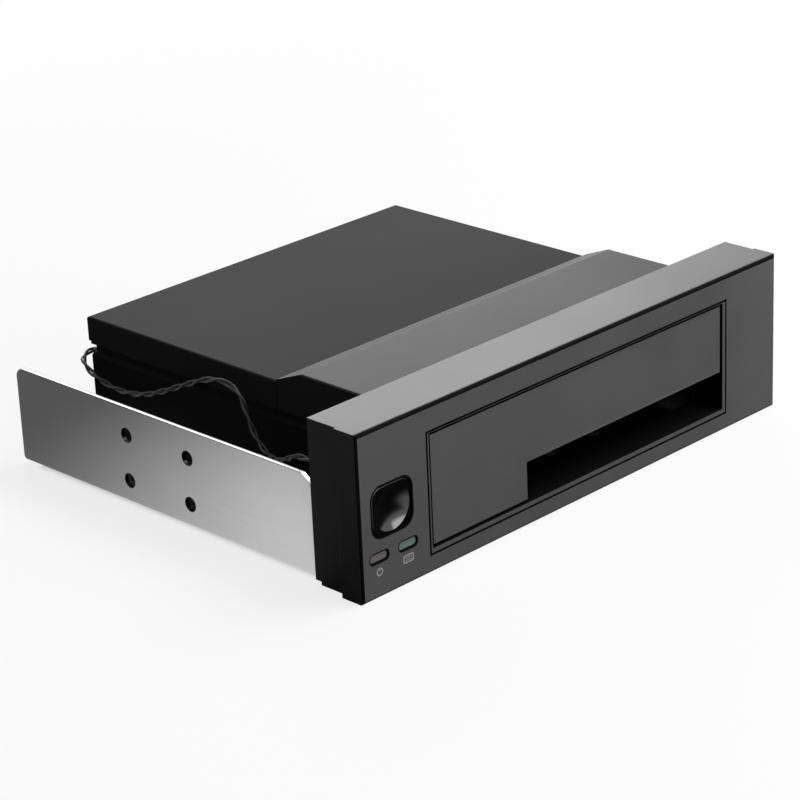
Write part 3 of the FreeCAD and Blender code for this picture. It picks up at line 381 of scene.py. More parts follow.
@dataclass(frozen=True)
class FaceMoulding(Moulding):
    """Moulding whose face is framed by black lines, painted shade where they follow its scored line
    and ring its button and lamps, and which is black inside its openings as painted shade.
    """

    ink: Colour = grey(0.3)
    ink_grain: float = 5200.0   # specks of thin ink a metre
    soft: float = 0.1 * MM      # how soft the lines' borders are
    rim_top: float = 1.0 * MM   # width of the line along the top edge
    rim_side: float = 0.75 * MM  # along the left edge
    rim_low: float = 0.55 * MM  # along the right and the lower edge
    rim_depth: float = 0.5 * MM  # how far back the lines go round the edges
    jamb: float = 2.3 * MM      # of the painted shade on the door's jamb, from the opening
    jamb_line: float = 0.15 * MM  # of it on the face
    depth_of_face: float = 0.12 * MM  # behind which the jamb begins
    ring_width: float = 0.5 * MM  # of the painted shade round the button
    ring_inset: float = 0.65 * MM  # from the cap's edge
    ring_corner: float = 3.0 * MM
    lamp_ring: float = 0.4 * MM  # of the painted shade round a lamp
    lamp_shift: float = 0.1 * MM  # to the right and down
    lamp_half: tuple[float, float] = (2.8 * MM, 1.05 * MM)
    lamp_corner: float = 0.9 * MM
    door_low: tuple[float, float] = (-51.6 * MM, 6.0 * MM)  # X and Z of the opening's corners
    door_high: tuple[float, float] = (53.15 * MM, 34.1 * MM)
    score_low: tuple[float, float] = (-52.4 * MM, 4.5 * MM)  # and of the scored line's
    score_high: tuple[float, float] = (54.6 * MM, 34.6 * MM)
    score_half: float = 0.28 * MM  # half its width
    sheen_end: tuple[float, float] = (0.045, 0.07)  # X over which painted sheen brightens the right end
    sheen_share: float = 1.2
    # painted shade on the left and right sides
    painted_side_shade: float = 0.6
    sign_level: float = 6.4 * MM  # Z of the printed signs
    sign_aside: float = 2.8 * MM  # from the lamp's left edge
    sign_line: float = 0.15 * MM  # half the width of their lines
    sign_ring: float = 0.85 * MM  # radius of the power sign's ring
    sign_gap: float = 0.3 * MM  # half the width of the gap in it
    sign_bar: tuple[float, float] = (0.6 * MM, 0.45 * MM)  # middle and half length of its bar
    sign_frame: tuple[float, float] = (1.5 * MM, 0.85 * MM)  # half sizes of the access sign
    sign_corner: float = 0.3 * MM
    sign_rows: tuple[float, float] = (0.3 * MM, 1.0 * MM)  # level and half length of its bars

    def within(self, value: Expr, limit: float) -> Expr:
        """1 where a value is under a limit, with a soft border."""
        return (value - limit).ramp(-self.soft, self.soft, 1.0, 0.0)

    @staticmethod
    def outside(graph: Graph, low: tuple[float, float], high: tuple[float, float]) -> Expr:
        """How far a place is outside a rectangle in X and Z.

        Args:
            graph: the material's nodes.
            low: X and Z of its lower left corner.
            high: X and Z of its upper right corner.

        Returns:
            The distance, negative inside it.
        """
        x, _, z = graph.axes()
        across = abs(x - (low[0] + high[0]) / 2) - (high[0] - low[0]) / 2
        upright = abs(z - (low[1] + high[1]) / 2) - (high[1] - low[1]) / 2
        return across.highest(upright)

    def outside_door(self, graph: Graph) -> Expr:
        """Distance outside the door's opening."""
        return self.outside(graph, self.door_low, self.door_high)

    def rounded(self, graph: Graph, middle: tuple[float, float], half: tuple[float, float],
                corner: float) -> Expr:
        """Distance outside a rounded rectangle on the face.

        It is the length of the part of (|x|, |z|) beyond the corners' middles, less the
        corner's radius.

        Args:
            graph: the material's nodes.
            middle: X and Z of the rectangle's middle.
            half: half its width and height.
            corner: radius of its corners.

        Returns:
            The distance, in metres, never less than minus the radius.
        """
        x, _, z = graph.axes()
        across = (abs(x - middle[0]) - (half[0] - corner)).highest(0.0)
        upright = (abs(z - middle[1]) - (half[1] - corner)).highest(0.0)
        return (across * across + upright * upright).root() - corner

    def rim(self, graph: Graph) -> Expr:
        """Lines along the face's edges, and painted shade along the scored one within them.

        Args:
            graph: the material's nodes.

        Returns:
            1 on them, 0 elsewhere.
        """
        low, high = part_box("front_bezel")
        x, y, z = graph.axes()
        rim = self.within(high.z - z, self.rim_top).highest(
            self.within(x - low.x, self.rim_side)).highest(
            self.within(high.x - x, self.rim_low)).highest(self.within(z - low.z, self.rim_low))
        score = abs(self.outside(graph, self.score_low, self.score_high))
        rim = rim.highest(self.within(score, self.score_half))
        return rim * self.within(y - low.y, self.rim_depth)

    def rings(self, graph: Graph) -> list[Expr]:
        """Painted shade in the gaps round the button and the two lamps.

        Args:
            graph: the material's nodes.

        Returns:
            For each, 1 on the line and 0 elsewhere.
        """
        near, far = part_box("power_button")
        half = ((far.x - near.x) / 2 - self.ring_inset, (far.z - near.z) / 2 - self.ring_inset)
        button = self.rounded(graph, box_middle("power_button"), half, self.ring_corner)
        rings = [self.within(button, self.ring_width)]
        for name in ("light_pipe_power", "light_pipe_access"):
            x, z = box_middle(name)
            lamp = self.rounded(graph, (x + self.lamp_shift, z - self.lamp_shift),
                                self.lamp_half, self.lamp_corner)
            rings.append(self.within(lamp, self.lamp_ring))
        return rings

    def lines(self, graph: Graph) -> Expr:
        """All that is black: the lines, and the painted shade on the jamb and on what lies in the
        openings.

        Args:
            graph: the material's nodes.

        Returns:
            1 on it, 0 elsewhere.
        """
        low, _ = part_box("front_bezel")
        _, y, _ = graph.axes()
        door = self.outside_door(graph)
        # painted shade on the door's jamb and in the opening
        jamb = self.within(door, self.jamb) * (y - low.y - self.depth_of_face).ramp(
            -self.soft / 2, self.soft / 2)
        found = self.rim(graph).highest(jamb).highest(self.within(door, self.jamb_line))
        for ring in self.rings(graph):
            found = found.highest(ring)
        return found

    def marks(self, graph: Graph) -> Expr:
        """1 on the two small printed signs under the lamps, 0 elsewhere.

        The power sign is a ring open at its top with a bar in the gap; the access sign is two
        bars in a rounded frame.

        Args:
            graph: the material's nodes.

        Returns:
            The signs' cover.
        """
        x, y, z = graph.axes()
        low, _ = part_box("front_bezel")
        power, access = (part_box(name)[0].x + self.sign_aside
                         for name in ("light_pipe_power", "light_pipe_access"))
        line = self.sign_line
        across, upright = x - power, z - self.sign_level
        radius = (across * across + upright * upright).root()
        gap = self.within(abs(across), self.sign_gap) * upright.ramp(0.0, self.soft)
        ring = self.within(abs(radius - self.sign_ring), line) * (1.0 - gap)
        level, half = self.sign_bar
        bar = self.within(abs(across), line) * self.within(abs(upright - level), half)
        frame = abs(self.rounded(graph, (access, self.sign_level), self.sign_frame,
                                 self.sign_corner))
        level, half = self.sign_rows
        rows = (self.within(abs(abs(upright) - level), line * 0.6)
                * self.within(abs(x - access), half))
        signs = ring.highest(bar).highest(self.within(frame, line)).highest(rows)
        return signs * self.within(y - low.y, self.soft)

    def shader(self, graph: Graph) -> dict:
        """The moulding, brightened by painted sheen at its right end, with its printed signs.

        Args:
            graph: the material's nodes.

        Returns:
            The shader's inputs that vary over the surface.
        """
        inputs = super().shader(graph)
        x, _, _ = graph.axes()
        # painted sheen: the colour grows brighter towards the right end
        paler = graph.scaled(inputs["Base Color"], x.ramp(*self.sheen_end, 1.0, self.sheen_share))
        thin = graph.noise(self.ink_grain, 3.0, 0.6).ramp(0.25, 0.5, 0.6, 1.0)
        cover = self.marks(graph) * thin
        inputs["Base Color"] = graph.mix(cover, paler, self.ink)
        return inputs

    def ended(self, graph: Graph, shader: Expr) -> Expr:
        """The moulding, giving way to the black of painted shade on the lines and in part on the
        sides.
        """
        return graph.painted_shade(shader, self.lines(graph).highest(graph.sides(self.painted_side_shade)))


@dataclass(frozen=True)
class FlapMoulding(FaceMoulding):
    """The flap's moulding, with black painted shade in the gap round it and on its cut edges."""

    gap_width: float = 0.6 * MM  # from the opening's own edge
    streak_level: float = 16.4 * MM
    streak_half: float = 0.12 * MM
    streak_start: tuple[float, float] = (-18.0 * MM, -10.0 * MM)
    streak_share: float = 0.12

    def marks(self, graph: Graph) -> Expr:
        """A faint paler streak along the notch's border.

        Args:
            graph: the material's nodes.

        Returns:
            The streak's cover.
        """
        x, _, z = graph.axes()
        streak = self.within(abs(z - self.streak_level), self.streak_half)
        return streak * x.ramp(*self.streak_start) * self.streak_share

    def lines(self, graph: Graph) -> Expr:
        """Painted shade: the black border in the gap round the flap, and all behind its face.

        Args:
            graph: the material's nodes.

        Returns:
            1 on it, 0 elsewhere.
        """
        low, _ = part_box("drive_flap")
        _, y, _ = graph.axes()
        # painted shade in the gap round the flap and on its cut edges
        border = (self.outside_door(graph) + self.gap_width).ramp(-self.soft, self.soft)
        return border.highest((y - low.y - self.depth_of_face).ramp(-self.soft, self.soft))


@dataclass(frozen=True)
class CrestMoulding(Moulding):
    """The hood's moulding, with a painted highlight along its rear crest and a darker line before
    it.
    """

    crest: float = 1.3 * MM     # width of the painted highlight
    # colour of the painted highlight along the crest
    crest_highlight: Colour = grey(0.1)
    dark_line: float = 1.9      # place of the dark one, in crests from the rear
    highlight_share: float = 0.55
    dark_share: float = 0.45
    # painted shade on the left and right sides
    painted_side_shade: float = 0.7

    def shader(self, graph: Graph) -> dict:
        """The moulding with the painted highlight on its crest and the dark line before it.

        Args:
            graph: the material's nodes.

        Returns:
            The shader's inputs that vary over the surface.
        """
        inputs = super().shader(graph)
        _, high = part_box("flap_hood")
        _, y, _ = graph.axes()
        behind = high.y - y
        upward = graph.facing("Z").ramp(0.4, 0.7)
        # painted highlight on the up-facing faces along the rear crest
        pale = (behind - self.crest).ramp(-0.3 * MM, 0.3 * MM, self.highlight_share, 0.0) * upward
        dark = abs(behind - self.crest * self.dark_line).ramp(
            0.2 * MM, 0.7 * MM, self.dark_share, 0.0) * upward
        inputs["Base Color"] = graph.mix(
            dark, graph.mix(pale, inputs["Base Color"], self.crest_highlight), BLACK)
        return inputs


@dataclass(frozen=True)
class SheetPaint(Finish):
    """Black powder coat on sheet steel: orange peel, a few dust pips, thin at the folds."""

    peel: float = 900.0         # bumps of the peel a metre
    pips: float = 420.0         # dust pips a metre
    clouds: float = 22.0        # clouds of gloss a metre
    cloud_shade: tuple[float, float] = (0.92, 1.08)
    pip_height: float = 0.6     # of the peel's
    depth: float = 0.012 * MM   # of the peel
    edge: float = 0.3 * MM      # reach of a thin fold
    worn: float = 0.5           # how much paler it is
    # painted shade on the left and right sides
    painted_side_shade: float = 0.6

    def shader(self, graph: Graph) -> dict:
        """Orange peel, pips and paler folds.

        Args:
            graph: the material's nodes.

        Returns:
            The shader's inputs that vary over the surface.
        """
        peel = graph.noise(self.peel, 2.0, 0.45)
        pips = graph.cells(self.pips).ramp(0.02, 0.06, 1.0, 0.0)
        clouds = graph.noise(self.clouds, 4.0, 0.6)
        edge = graph.edges(self.edge)
        shade = (clouds.ramp(0.2, 0.8, *self.cloud_shade) * (1.0 + edge * self.worn)
                 * (1.0 + pips * 0.2))
        tint = graph.scaled(self.colour, shade)
        gloss = self.roughness + (clouds - 0.5) * 0.1 - edge * 0.05
        return {"Base Color": tint, "Roughness": gloss,
                "Normal": graph.bump(peel + pips * self.pip_height, self.depth, self.edge)}


@dataclass(frozen=True)
class RolledSteel(Finish):
    """Bright plated sheet: rolling lines along Y, faint handling marks, bright cut edges.

    The inner half of a sheared edge is torn and darkened, and the holes' walls are painted dark as
    painted shade.
    """

    lines: float = 1500.0       # lines a metre across the rolling direction
    marks: float = 26.0         # handling marks a metre
    line_shade: tuple[float, float] = (0.98, 1.015)  # darkest and palest, of the colour
    mark_shade: tuple[float, float] = (0.96, 1.02)
    line_depth: float = 0.002 * MM
    torn_black: Colour = grey(0.01)
    edge: float = 0.22 * MM     # reach of a bright edge
    burnished: float = 0.6 * MM  # of the edge, from the outer face
    soft: float = 0.1 * MM      # of the borders of what is darkened
    torn: tuple[float, float] = (0.95, 0.65)  # share of black, inner and outer
    hole: float = 1.93 * MM     # radius
    hole_middle: tuple[float, float] = (8.7 * MM, 13.42 * MM)  # Y and Z of the four's middle
    hole_apart: tuple[float, float] = (10.9 * MM, 5.92 * MM)  # of a hole from it

    def hole_shade_and_torn_edge(self, graph: Graph) -> Expr:
        """Share of black: 1 on the holes' walls, which is painted shade, and nearly so on the upper
        edge's torn half.

        With |y| and |z| taken from the holes' common middle, all four are one hole at
        hole_apart.

        Args:
            graph: the material's nodes.

        Returns:
            The share, 0 on the flat sides.
        """
        _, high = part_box("side_bracket_right")
        x, y, z = graph.axes()
        along = abs(y - self.hole_middle[0]) - self.hole_apart[0]
        upright = abs(z - self.hole_middle[1]) - self.hole_apart[1]
        radius = (along * along + upright * upright).root()
        # painted shade: the holes' walls are black
        walls = (radius - self.hole).ramp(-self.soft, self.soft, 1.0, 0.0)
        torn = (abs(x) - (high.x - self.burnished)).ramp(-self.soft, self.soft, *self.torn)
        return walls.highest(torn * (z - high.z).ramp(-3.0 * self.soft, -self.soft))

    def shader(self, graph: Graph) -> dict:
        """Rolling lines, marks and bright edges.

        Args:
            graph: the material's nodes.

        Returns:
            The shader's inputs that vary over the surface.
        """
        along = graph.stretched((0.02, 0.02, 1.0))
        fine = graph.noise(self.lines, 3.0, 0.65, along)
        broad = graph.noise(self.lines / 9.0, 2.0, 0.5, along)
        marks = graph.noise(self.marks, 4.0, 0.6)
        edge = graph.edges(self.edge)
        shade = (fine.ramp(0.25, 0.75, *self.line_shade)
                 * marks.ramp(0.3, 0.75, *self.mark_shade) + edge * 0.2)
        tint = graph.scaled(self.colour, shade)
        tint = graph.mix(self.hole_shade_and_torn_edge(graph), tint, self.torn_black)
        gloss = (self.roughness + (fine - 0.5) * 0.06 + (broad - 0.5) * 0.03 + (marks - 0.5) * 0.1)
        return {"Base Color": tint, "Roughness": gloss,
                "Normal": graph.bump(fine, self.line_depth, self.edge)}


@dataclass(frozen=True)
class TurnedMetal(Finish):
    """Small metal part: fine random scratches and slightly tarnished hollows."""

    scratch: float = 3000.0     # scratches a metre
    tarnish: float = 260.0      # tarnished spots a metre
    tarnish_shade: tuple[float, float] = (0.85, 1.0)
    depth: float = 0.004 * MM   # of a scratch
    edge: float = 0.12 * MM     # reach of a bright edge

    def shader(self, graph: Graph) -> dict:
        """Scratches and tarnish.

        Args:
            graph: the material's nodes.

        Returns:
            The shader's inputs that vary over the surface.
        """
        lines = graph.noise(self.scratch, 4.0, 0.7, graph.stretched((1.0, 0.15, 1.0)))
        tarnish = graph.noise(self.tarnish, 3.0, 0.5)
        edge = graph.edges(self.edge)
        shade = tarnish.ramp(0.3, 0.7, *self.tarnish_shade) + edge * 0.2
        tint = graph.scaled(self.colour, shade)
        return {"Base Color": tint, "Roughness": self.roughness + (lines - 0.5) * 0.18,
                "Normal": graph.bump(lines, self.depth, 0.1 * MM)}


@dataclass(frozen=True)
class BoardMask(Finish):
    """Circuit board: solder mask over copper runs, and plated holes painted black inside as painted
    shade.
    """

    copper: Colour = (0.03, 0.085, 0.045)
    pad: Colour = (0.62, 0.6, 0.52)
    areas: float = 130.0        # areas of one direction or the other, a metre
    via_apart: float = 3.1 * MM
    height: float = 0.03 * MM   # of copper and pads
    gap: float = 0.16           # between two runs of copper, in millimetres
    run: tuple[float, float] = (9.0, 0.9)    # length and pitch of the runs across
    drop: tuple[float, float] = (6.0, 1.27)  # and of the upright ones

    def bricks(self, graph: Graph, flat: Expr, size: tuple[float, float]) -> Expr:
        """1 between bricks of this length and height, in millimetres, 0 on them."""
        return graph.node("ShaderNodeTexBrick", None,
                          {"Vector": flat, "Scale": 1.0 / MM, "Mortar Size": self.gap,
                           "Brick Width": size[0], "Row Height": size[1], "Color1": WHITE,
                           "Color2": WHITE, "Mortar": BLACK}, out="Fac")

    def shader(self, graph: Graph) -> dict:
        """Copper runs as bricks in two directions, and via dots at the middles of cells.

        Args:
            graph: the material's nodes.

        Returns:
            The shader's inputs that vary over the surface.
        """
        x, _, z = graph.axes()
        flat = graph.node("ShaderNodeCombineXYZ", None, {0: x, 1: z})
        swapped = graph.node("ShaderNodeCombineXYZ", None, {0: z, 1: x})
        runs = self.bricks(graph, flat, self.run)
        drops = self.bricks(graph, swapped, self.drop)
        area = graph.noise(self.areas, 1.0, 0.4).ramp(0.48, 0.52)
        copper = (1.0 - runs) * area + (1.0 - drops) * (1.0 - area)
        dots = graph.cells(1.0 / self.via_apart, flat)
        pads = dots.ramp(0.1, 0.13, 1.0, 0.0)
        holes = dots.ramp(0.04, 0.06, 1.0, 0.0)
        colour = graph.mix(copper * 0.8, self.colour, self.copper)
        colour = graph.mix(pads, colour, self.pad)
        # painted shade: the holes are black inside
        colour = graph.mix(holes, colour, BLACK)
        height = copper * 0.5 + pads - holes
        return {"Base Color": colour, "Roughness": self.roughness + pads * 0.1,
                "Normal": graph.bump(height, self.height)}


@dataclass(frozen=True)
class GlossCap(Finish):
    """Polished button cap with a shallow dish and faint wipe marks."""

    dish_radius: float = 14.0 * MM
    dish_depth: float = 1.2 * MM
    wipes: float = 600.0        # wipe marks a metre
    prints: float = 180.0       # finger marks a metre
    print_shade: tuple[float, float] = (0.9, 1.1)
    wipe_depth: float = 0.001 * MM
    edge: float = 0.3 * MM      # radius that the cap's edge seems to have

    def dished(self, graph: Graph) -> Expr:
        """Normal of the cap, which in its dish points at the middle of the dish's sphere.

        Args:
            graph: the material's nodes.

        Returns:
            The normal.
        """
        low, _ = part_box("power_button")
        across, upright = box_middle("power_button")
        middle = (across, low.y + self.dish_depth - self.dish_radius, upright)
        towards = graph.node("ShaderNodeVectorMath", {"operation": "SUBTRACT"},
                             {0: middle, 1: graph.place()})
        inward = graph.node("ShaderNodeVectorMath", {"operation": "NORMALIZE"}, {0: towards})
        _, y, _ = graph.axes()
        within = (y - low.y).ramp(0.0, 0.03 * MM) * graph.facing("Y").ramp(-0.7, -0.5, 1.0, 0.0)
        return graph.mix(within, graph.bevel(self.edge), inward)

    def shader(self, graph: Graph) -> dict:
        """Wipe marks in the gloss.

        Args:
            graph: the material's nodes.

        Returns:
            The shader's inputs that vary over the surface.
        """
        wipes = graph.noise(self.wipes, 4.0, 0.7, graph.stretched((1.0, 1.0, 0.25), (0, 0.5, 0)))
        shade = graph.noise(self.prints, 3.0, 0.6).ramp(0.3, 0.7, *self.print_shade)
        tint = graph.scaled(self.colour, shade)
        return {"Base Color": tint, "Roughness": self.roughness + (wipes - 0.5) * 0.06,
                "Normal": graph.bump(wipes, self.wipe_depth, normal=self.dished(graph))}


@dataclass(frozen=True)
class LampWindow(Finish):
    """Light pipe: tinted clear plastic, lightly frosted, with painted shade darkening its edges."""

    glow: float = 0.0
    frost: float = 2400.0       # frost specks a metre
    frost_depth: float = 0.006 * MM
    edge: float = 0.35 * MM     # reach of the painted shade along the edges

    def constants(self) -> dict:
        """Some light passes through."""
        return {"Transmission Weight": 0.25, "IOR": 1.49, "Coat Weight": 0.3,
                "Coat Roughness": 0.1, "Emission Strength": self.glow}

    def shader(self, graph: Graph) -> dict:
        """Frost specks, and painted shade: a darker line along the edges.

        Args:
            graph: the material's nodes.

        Returns:
            The shader's inputs that vary over the surface.
        """
        frost = graph.noise(self.frost, 3.0, 0.6)
        edge = graph.edges(self.edge)
        # painted shade: darker towards the edges
        tint = graph.mix(edge * 0.6, self.colour, BLACK)
        tint = graph.mix((frost - 0.5) * 0.3 + 0.1, tint, WHITE) if self.glow else tint
        return {"Base Color": tint, "Emission Color": tint,
                "Roughness": self.roughness + frost * 0.1,
                "Normal": graph.bump(frost, self.frost_depth, 0.15 * MM)}


@dataclass(frozen=True)
class WireSkin(Finish):
    """Drawn plastic skin of a thin wire: fine texture and dust."""

    dust: float = 420.0         # dust clouds a metre
    dust_shade: tuple[float, float] = (0.85, 1.3)
    drawn: float = 3800.0       # grains of the drawn skin a metre
    depth: float = 0.01 * MM    # of its texture

    def shader(self, graph: Graph) -> dict:
        """Dust clouds and a fine drawn texture.

        Args:
            graph: the material's nodes.

        Returns:
            The shader's inputs that vary over the surface.
        """
        dust = graph.noise(self.dust, 3.0, 0.6)
        drawn = graph.noise(self.drawn, 2.0, 0.5)
        tint = graph.scaled(self.colour, dust.ramp(0.3, 0.75, *self.dust_shade))
        return {"Base Color": tint, "Roughness": self.roughness + (dust - 0.5) * 0.15,
                "Normal": graph.bump(drawn, self.depth)}


BEZEL = FaceMoulding("bezel_plastic", grey(0.069), 0.42, 0.2)
FLAP_SKIN = FlapMoulding("flap_plastic", grey(0.074), 0.44, 0.18)
HOOD = CrestMoulding("hood_plastic", grey(0.034), 0.45, 0.06)
COVER = SheetPaint("cover_paint", grey(0.0245), 0.62, 0.03)
TRAY = SheetPaint("tray_paint", grey(0.0035), 0.55, 0.03)
BRACKET = RolledSteel("bracket_steel", grey(0.74), 0.2, 0.5, 1.0)
BRIGHT = TurnedMetal("bright_steel", grey(0.6), 0.26, 0.5, 1.0)
SPRING = TurnedMetal("spring_steel", (0.55, 0.54, 0.52), 0.24, 0.5, 1.0)
BLACK_SCREW = TurnedMetal("black_screws", grey(0.03), 0.36, 0.5, 0.7)
BRASS = TurnedMetal("standoff_brass", (0.76, 0.56, 0.24), 0.3, 0.5, 1.0)
GOLD = TurnedMetal("contact_gold", (0.93, 0.66, 0.28), 0.22, 0.5, 1.0)
GUIDE = Moulding("guide_plastic", grey(0.012), 0.5, 0.2)
CONNECTOR = Moulding("connector_black", grey(0.012), 0.42, 0.3, grain=5200.0)
COMPONENT = Moulding("component_black", grey(0.02), 0.5, 0.3, grain=5200.0)
PLUNGER = Moulding("plunger_plastic", (0.55, 0.53, 0.5), 0.45, 0.4)
HEADER = Moulding("header_white", (0.66, 0.62, 0.52), 0.45, 0.4)
PLUG = Moulding("plug_white", (0.74, 0.7, 0.6), 0.42, 0.4)
LED = Moulding("led_white", (0.72, 0.72, 0.68), 0.35, 0.4)
BOARD = BoardMask("circuit_board", (0.012, 0.04, 0.02), 0.36, 0.4)
CAP = GlossCap("button_gloss", grey(0.001), 0.15, 0.9)
PIPE_CLEAR = LampWindow("pipe_clear", (0.172, 0.15, 0.155), 0.28, 0.3)
PIPE_GREEN = LampWindow("pipe_green", (0.035, 0.13, 0.088), 0.3, 0.3, glow=0.05)
WIRE = WireSkin("wire_black", grey(0.0055), 0.33, 0.38)


class Dressing:
    """Gives the frame's own nodes their finishes."""

    finishes: dict[str, Finish] = {
        "front_bezel": BEZEL, "drive_flap": FLAP_SKIN, "flap_hood": HOOD, "top_cover": COVER,
        "chassis_tray": TRAY, "drive_guide_left": GUIDE, "drive_guide_right": GUIDE,
        "centre_runner": GUIDE, "side_bracket_left": BRACKET, "side_bracket_right": BRACKET,
        "bracket_screws": BLACK_SCREW, "bezel_screws": BLACK_SCREW, "cover_screws": BLACK_SCREW,
        "backplane_board": BOARD, "board_standoffs": BRASS, "backplane_screws": BRIGHT,
        "board_components": COMPONENT, "drive_socket": CONNECTOR, "data_port": CONNECTOR,
        "power_port": CONNECTOR, "power_switch": CONNECTOR, "drive_socket_contacts": GOLD,
        "data_port_contacts": GOLD, "power_port_contacts": GOLD, "lead_header_rear": HEADER,
        "lead_header_front": HEADER, "lead_plug_rear": PLUG, "lead_plug_front": PLUG,
        "indicator_lead": WIRE, "control_board": BOARD, "control_screws": BRIGHT,
        "switch_plunger": PLUNGER, "power_button": CAP, "light_pipe_power": PIPE_CLEAR,
        "light_pipe_access": PIPE_GREEN, "indicator_leds": LED, "flap_hinge_pin": BRIGHT,
        "flap_spring_left": SPRING, "flap_spring_right": SPRING,
    }

    def __init__(self) -> None:
        """Starts with no material made."""
        self.made: dict[str, bpy.types.Material] = {}

    def material(self, finish: Finish) -> bpy.types.Material:
        """The finish's material, made once.

        Args:
            finish: what the surface is.

        Returns:
            The shared material.
        """
        if finish.name not in self.made:
            self.made[finish.name] = finish.make()
        return self.made[finish.name]

    def nodes(self, nodes: dict[str, bpy.types.Object]) -> None:
        """Dresses every node of the frame.

        Args:
            nodes: the frame's objects by name.
        """
        for name, node in nodes.items():
            node.data.materials.clear()
            node.data.materials.append(self.material(self.finishes[name]))
            LOG.info("dressed %s in %s", name, self.finishes[name].name)

    def piece(self, piece: bpy.types.Object, finish: Finish, body: str | None) -> bpy.types.Object:
        """Gives a new piece its finish and its body.

        Args:
            piece: the new object.
            finish: its finish.
            body: the body that it rides on, or None where it rides on none.

        Returns:
            The same piece.
        """
        piece.data.materials.clear()
        piece.data.materials.append(self.material(finish))
        if body:
            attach(piece, body)
        LOG.info("built %s, %d faces, on %s", piece.name, len(piece.data.polygons), body or "blend")
        return piece


# ------------------------------------------------------------------ surfaces from numpy
def grid_quads(rows: int, columns: int, closed: bool) -> np.ndarray:
    """Quads of a grid of points, row by row, whose columns may close into rings.

    Quad (i, j) joins points i*columns + j and the next in each direction.

    Args:
        rows: number of rows.
        columns: points in each row.
        closed: True where the last point of a row joins its first.

    Returns:
        One row of four indices for each quad.
    """
    row = np.arange(rows - 1)[:, None] * columns
    column = np.arange(columns if closed else columns - 1)[None, :]
    after = (column + 1) % columns
    quads = np.stack([row + column, row + after, row + columns + after, row + columns + column], -1)
    return quads.reshape(-1, 4)


def new_piece(name: str, points: np.ndarray, faces: Sequence,
              smooth: bool = True) -> bpy.types.Object:
    """Object at the origin with this mesh.

    Args:
        name: the piece's name.
        points: one row of three coordinates for each vertex.
        faces: lists of indices.
        smooth: whether faces are shaded smooth.

    Returns:
        The new object.
    """
    mesh = bpy.data.meshes.new(name)
    mesh.from_pydata(points.reshape(-1, 3).tolist(), [], [list(map(int, face)) for face in faces])
    mesh.update()
    mesh.polygons.foreach_set("use_smooth", np.full(len(mesh.polygons), smooth))
    piece = bpy.data.objects.new(name, mesh)
    bpy.context.scene.collection.objects.link(piece)
    return piece


def swept(centres: np.ndarray, side: np.ndarray, rise: np.ndarray, radius: float,
          sides: int) -> tuple[np.ndarray, list]:
    """Round bar along a path, closed at both ends.

    Ring i is centre_i + radius * (side_i cos a + rise_i sin a) for a round the circle.

    Args:
        centres: the path's points.
        side: unit vectors square to the path.
        rise: unit vectors square to both.
        radius: of the bar.
        sides: points round each ring.

    Returns:
        Points and faces.
    """
    angle = np.linspace(0.0, 2.0 * math.pi, sides, endpoint=False)
    ring = (side[:, None, :] * np.cos(angle)[None, :, None]
            + rise[:, None, :] * np.sin(angle)[None, :, None])
    points = (centres[:, None, :] + radius * ring).reshape(-1, 3)
    faces = grid_quads(len(centres), sides, True).tolist()
    last = (len(centres) - 1) * sides
    faces.append(list(range(sides))[::-1])
    faces.append([last + index for index in range(sides)])
    return points, faces


def unit(vectors: np.ndarray) -> np.ndarray:
    """Rows scaled to length one."""
    return vectors / np.linalg.norm(vectors, axis=-1, keepdims=True)


def gathered(parts: Sequence[tuple[np.ndarray, list]]) -> tuple[np.ndarray, list]:
    """Points and faces of several shapes as one mesh.

    Args:
        parts: points and faces of each.

    Returns:
        All points and the faces with their indices moved on.
    """
    starts = np.cumsum([0] + [len(points) for points, _ in parts])
    faces = [[index + int(start) for index in face]
             for start, (_, part) in zip(starts, parts) for face in part]
    return np.concatenate([points for points, _ in parts]), faces


def mend_normals(piece: bpy.types.Object) -> bpy.types.Object:
    """Merges a piece's doubles and turns its faces outwards.

    Args:
        piece: the piece.

    Returns:
        The same piece.
    """
    shape = bmesh.new()
    shape.from_mesh(piece.data)
    bmesh.ops.remove_doubles(shape, verts=shape.verts, dist=1e-6)
    bmesh.ops.recalc_face_normals(shape, faces=shape.faces)
    shape.to_mesh(piece.data)
    shape.free()
    return piece


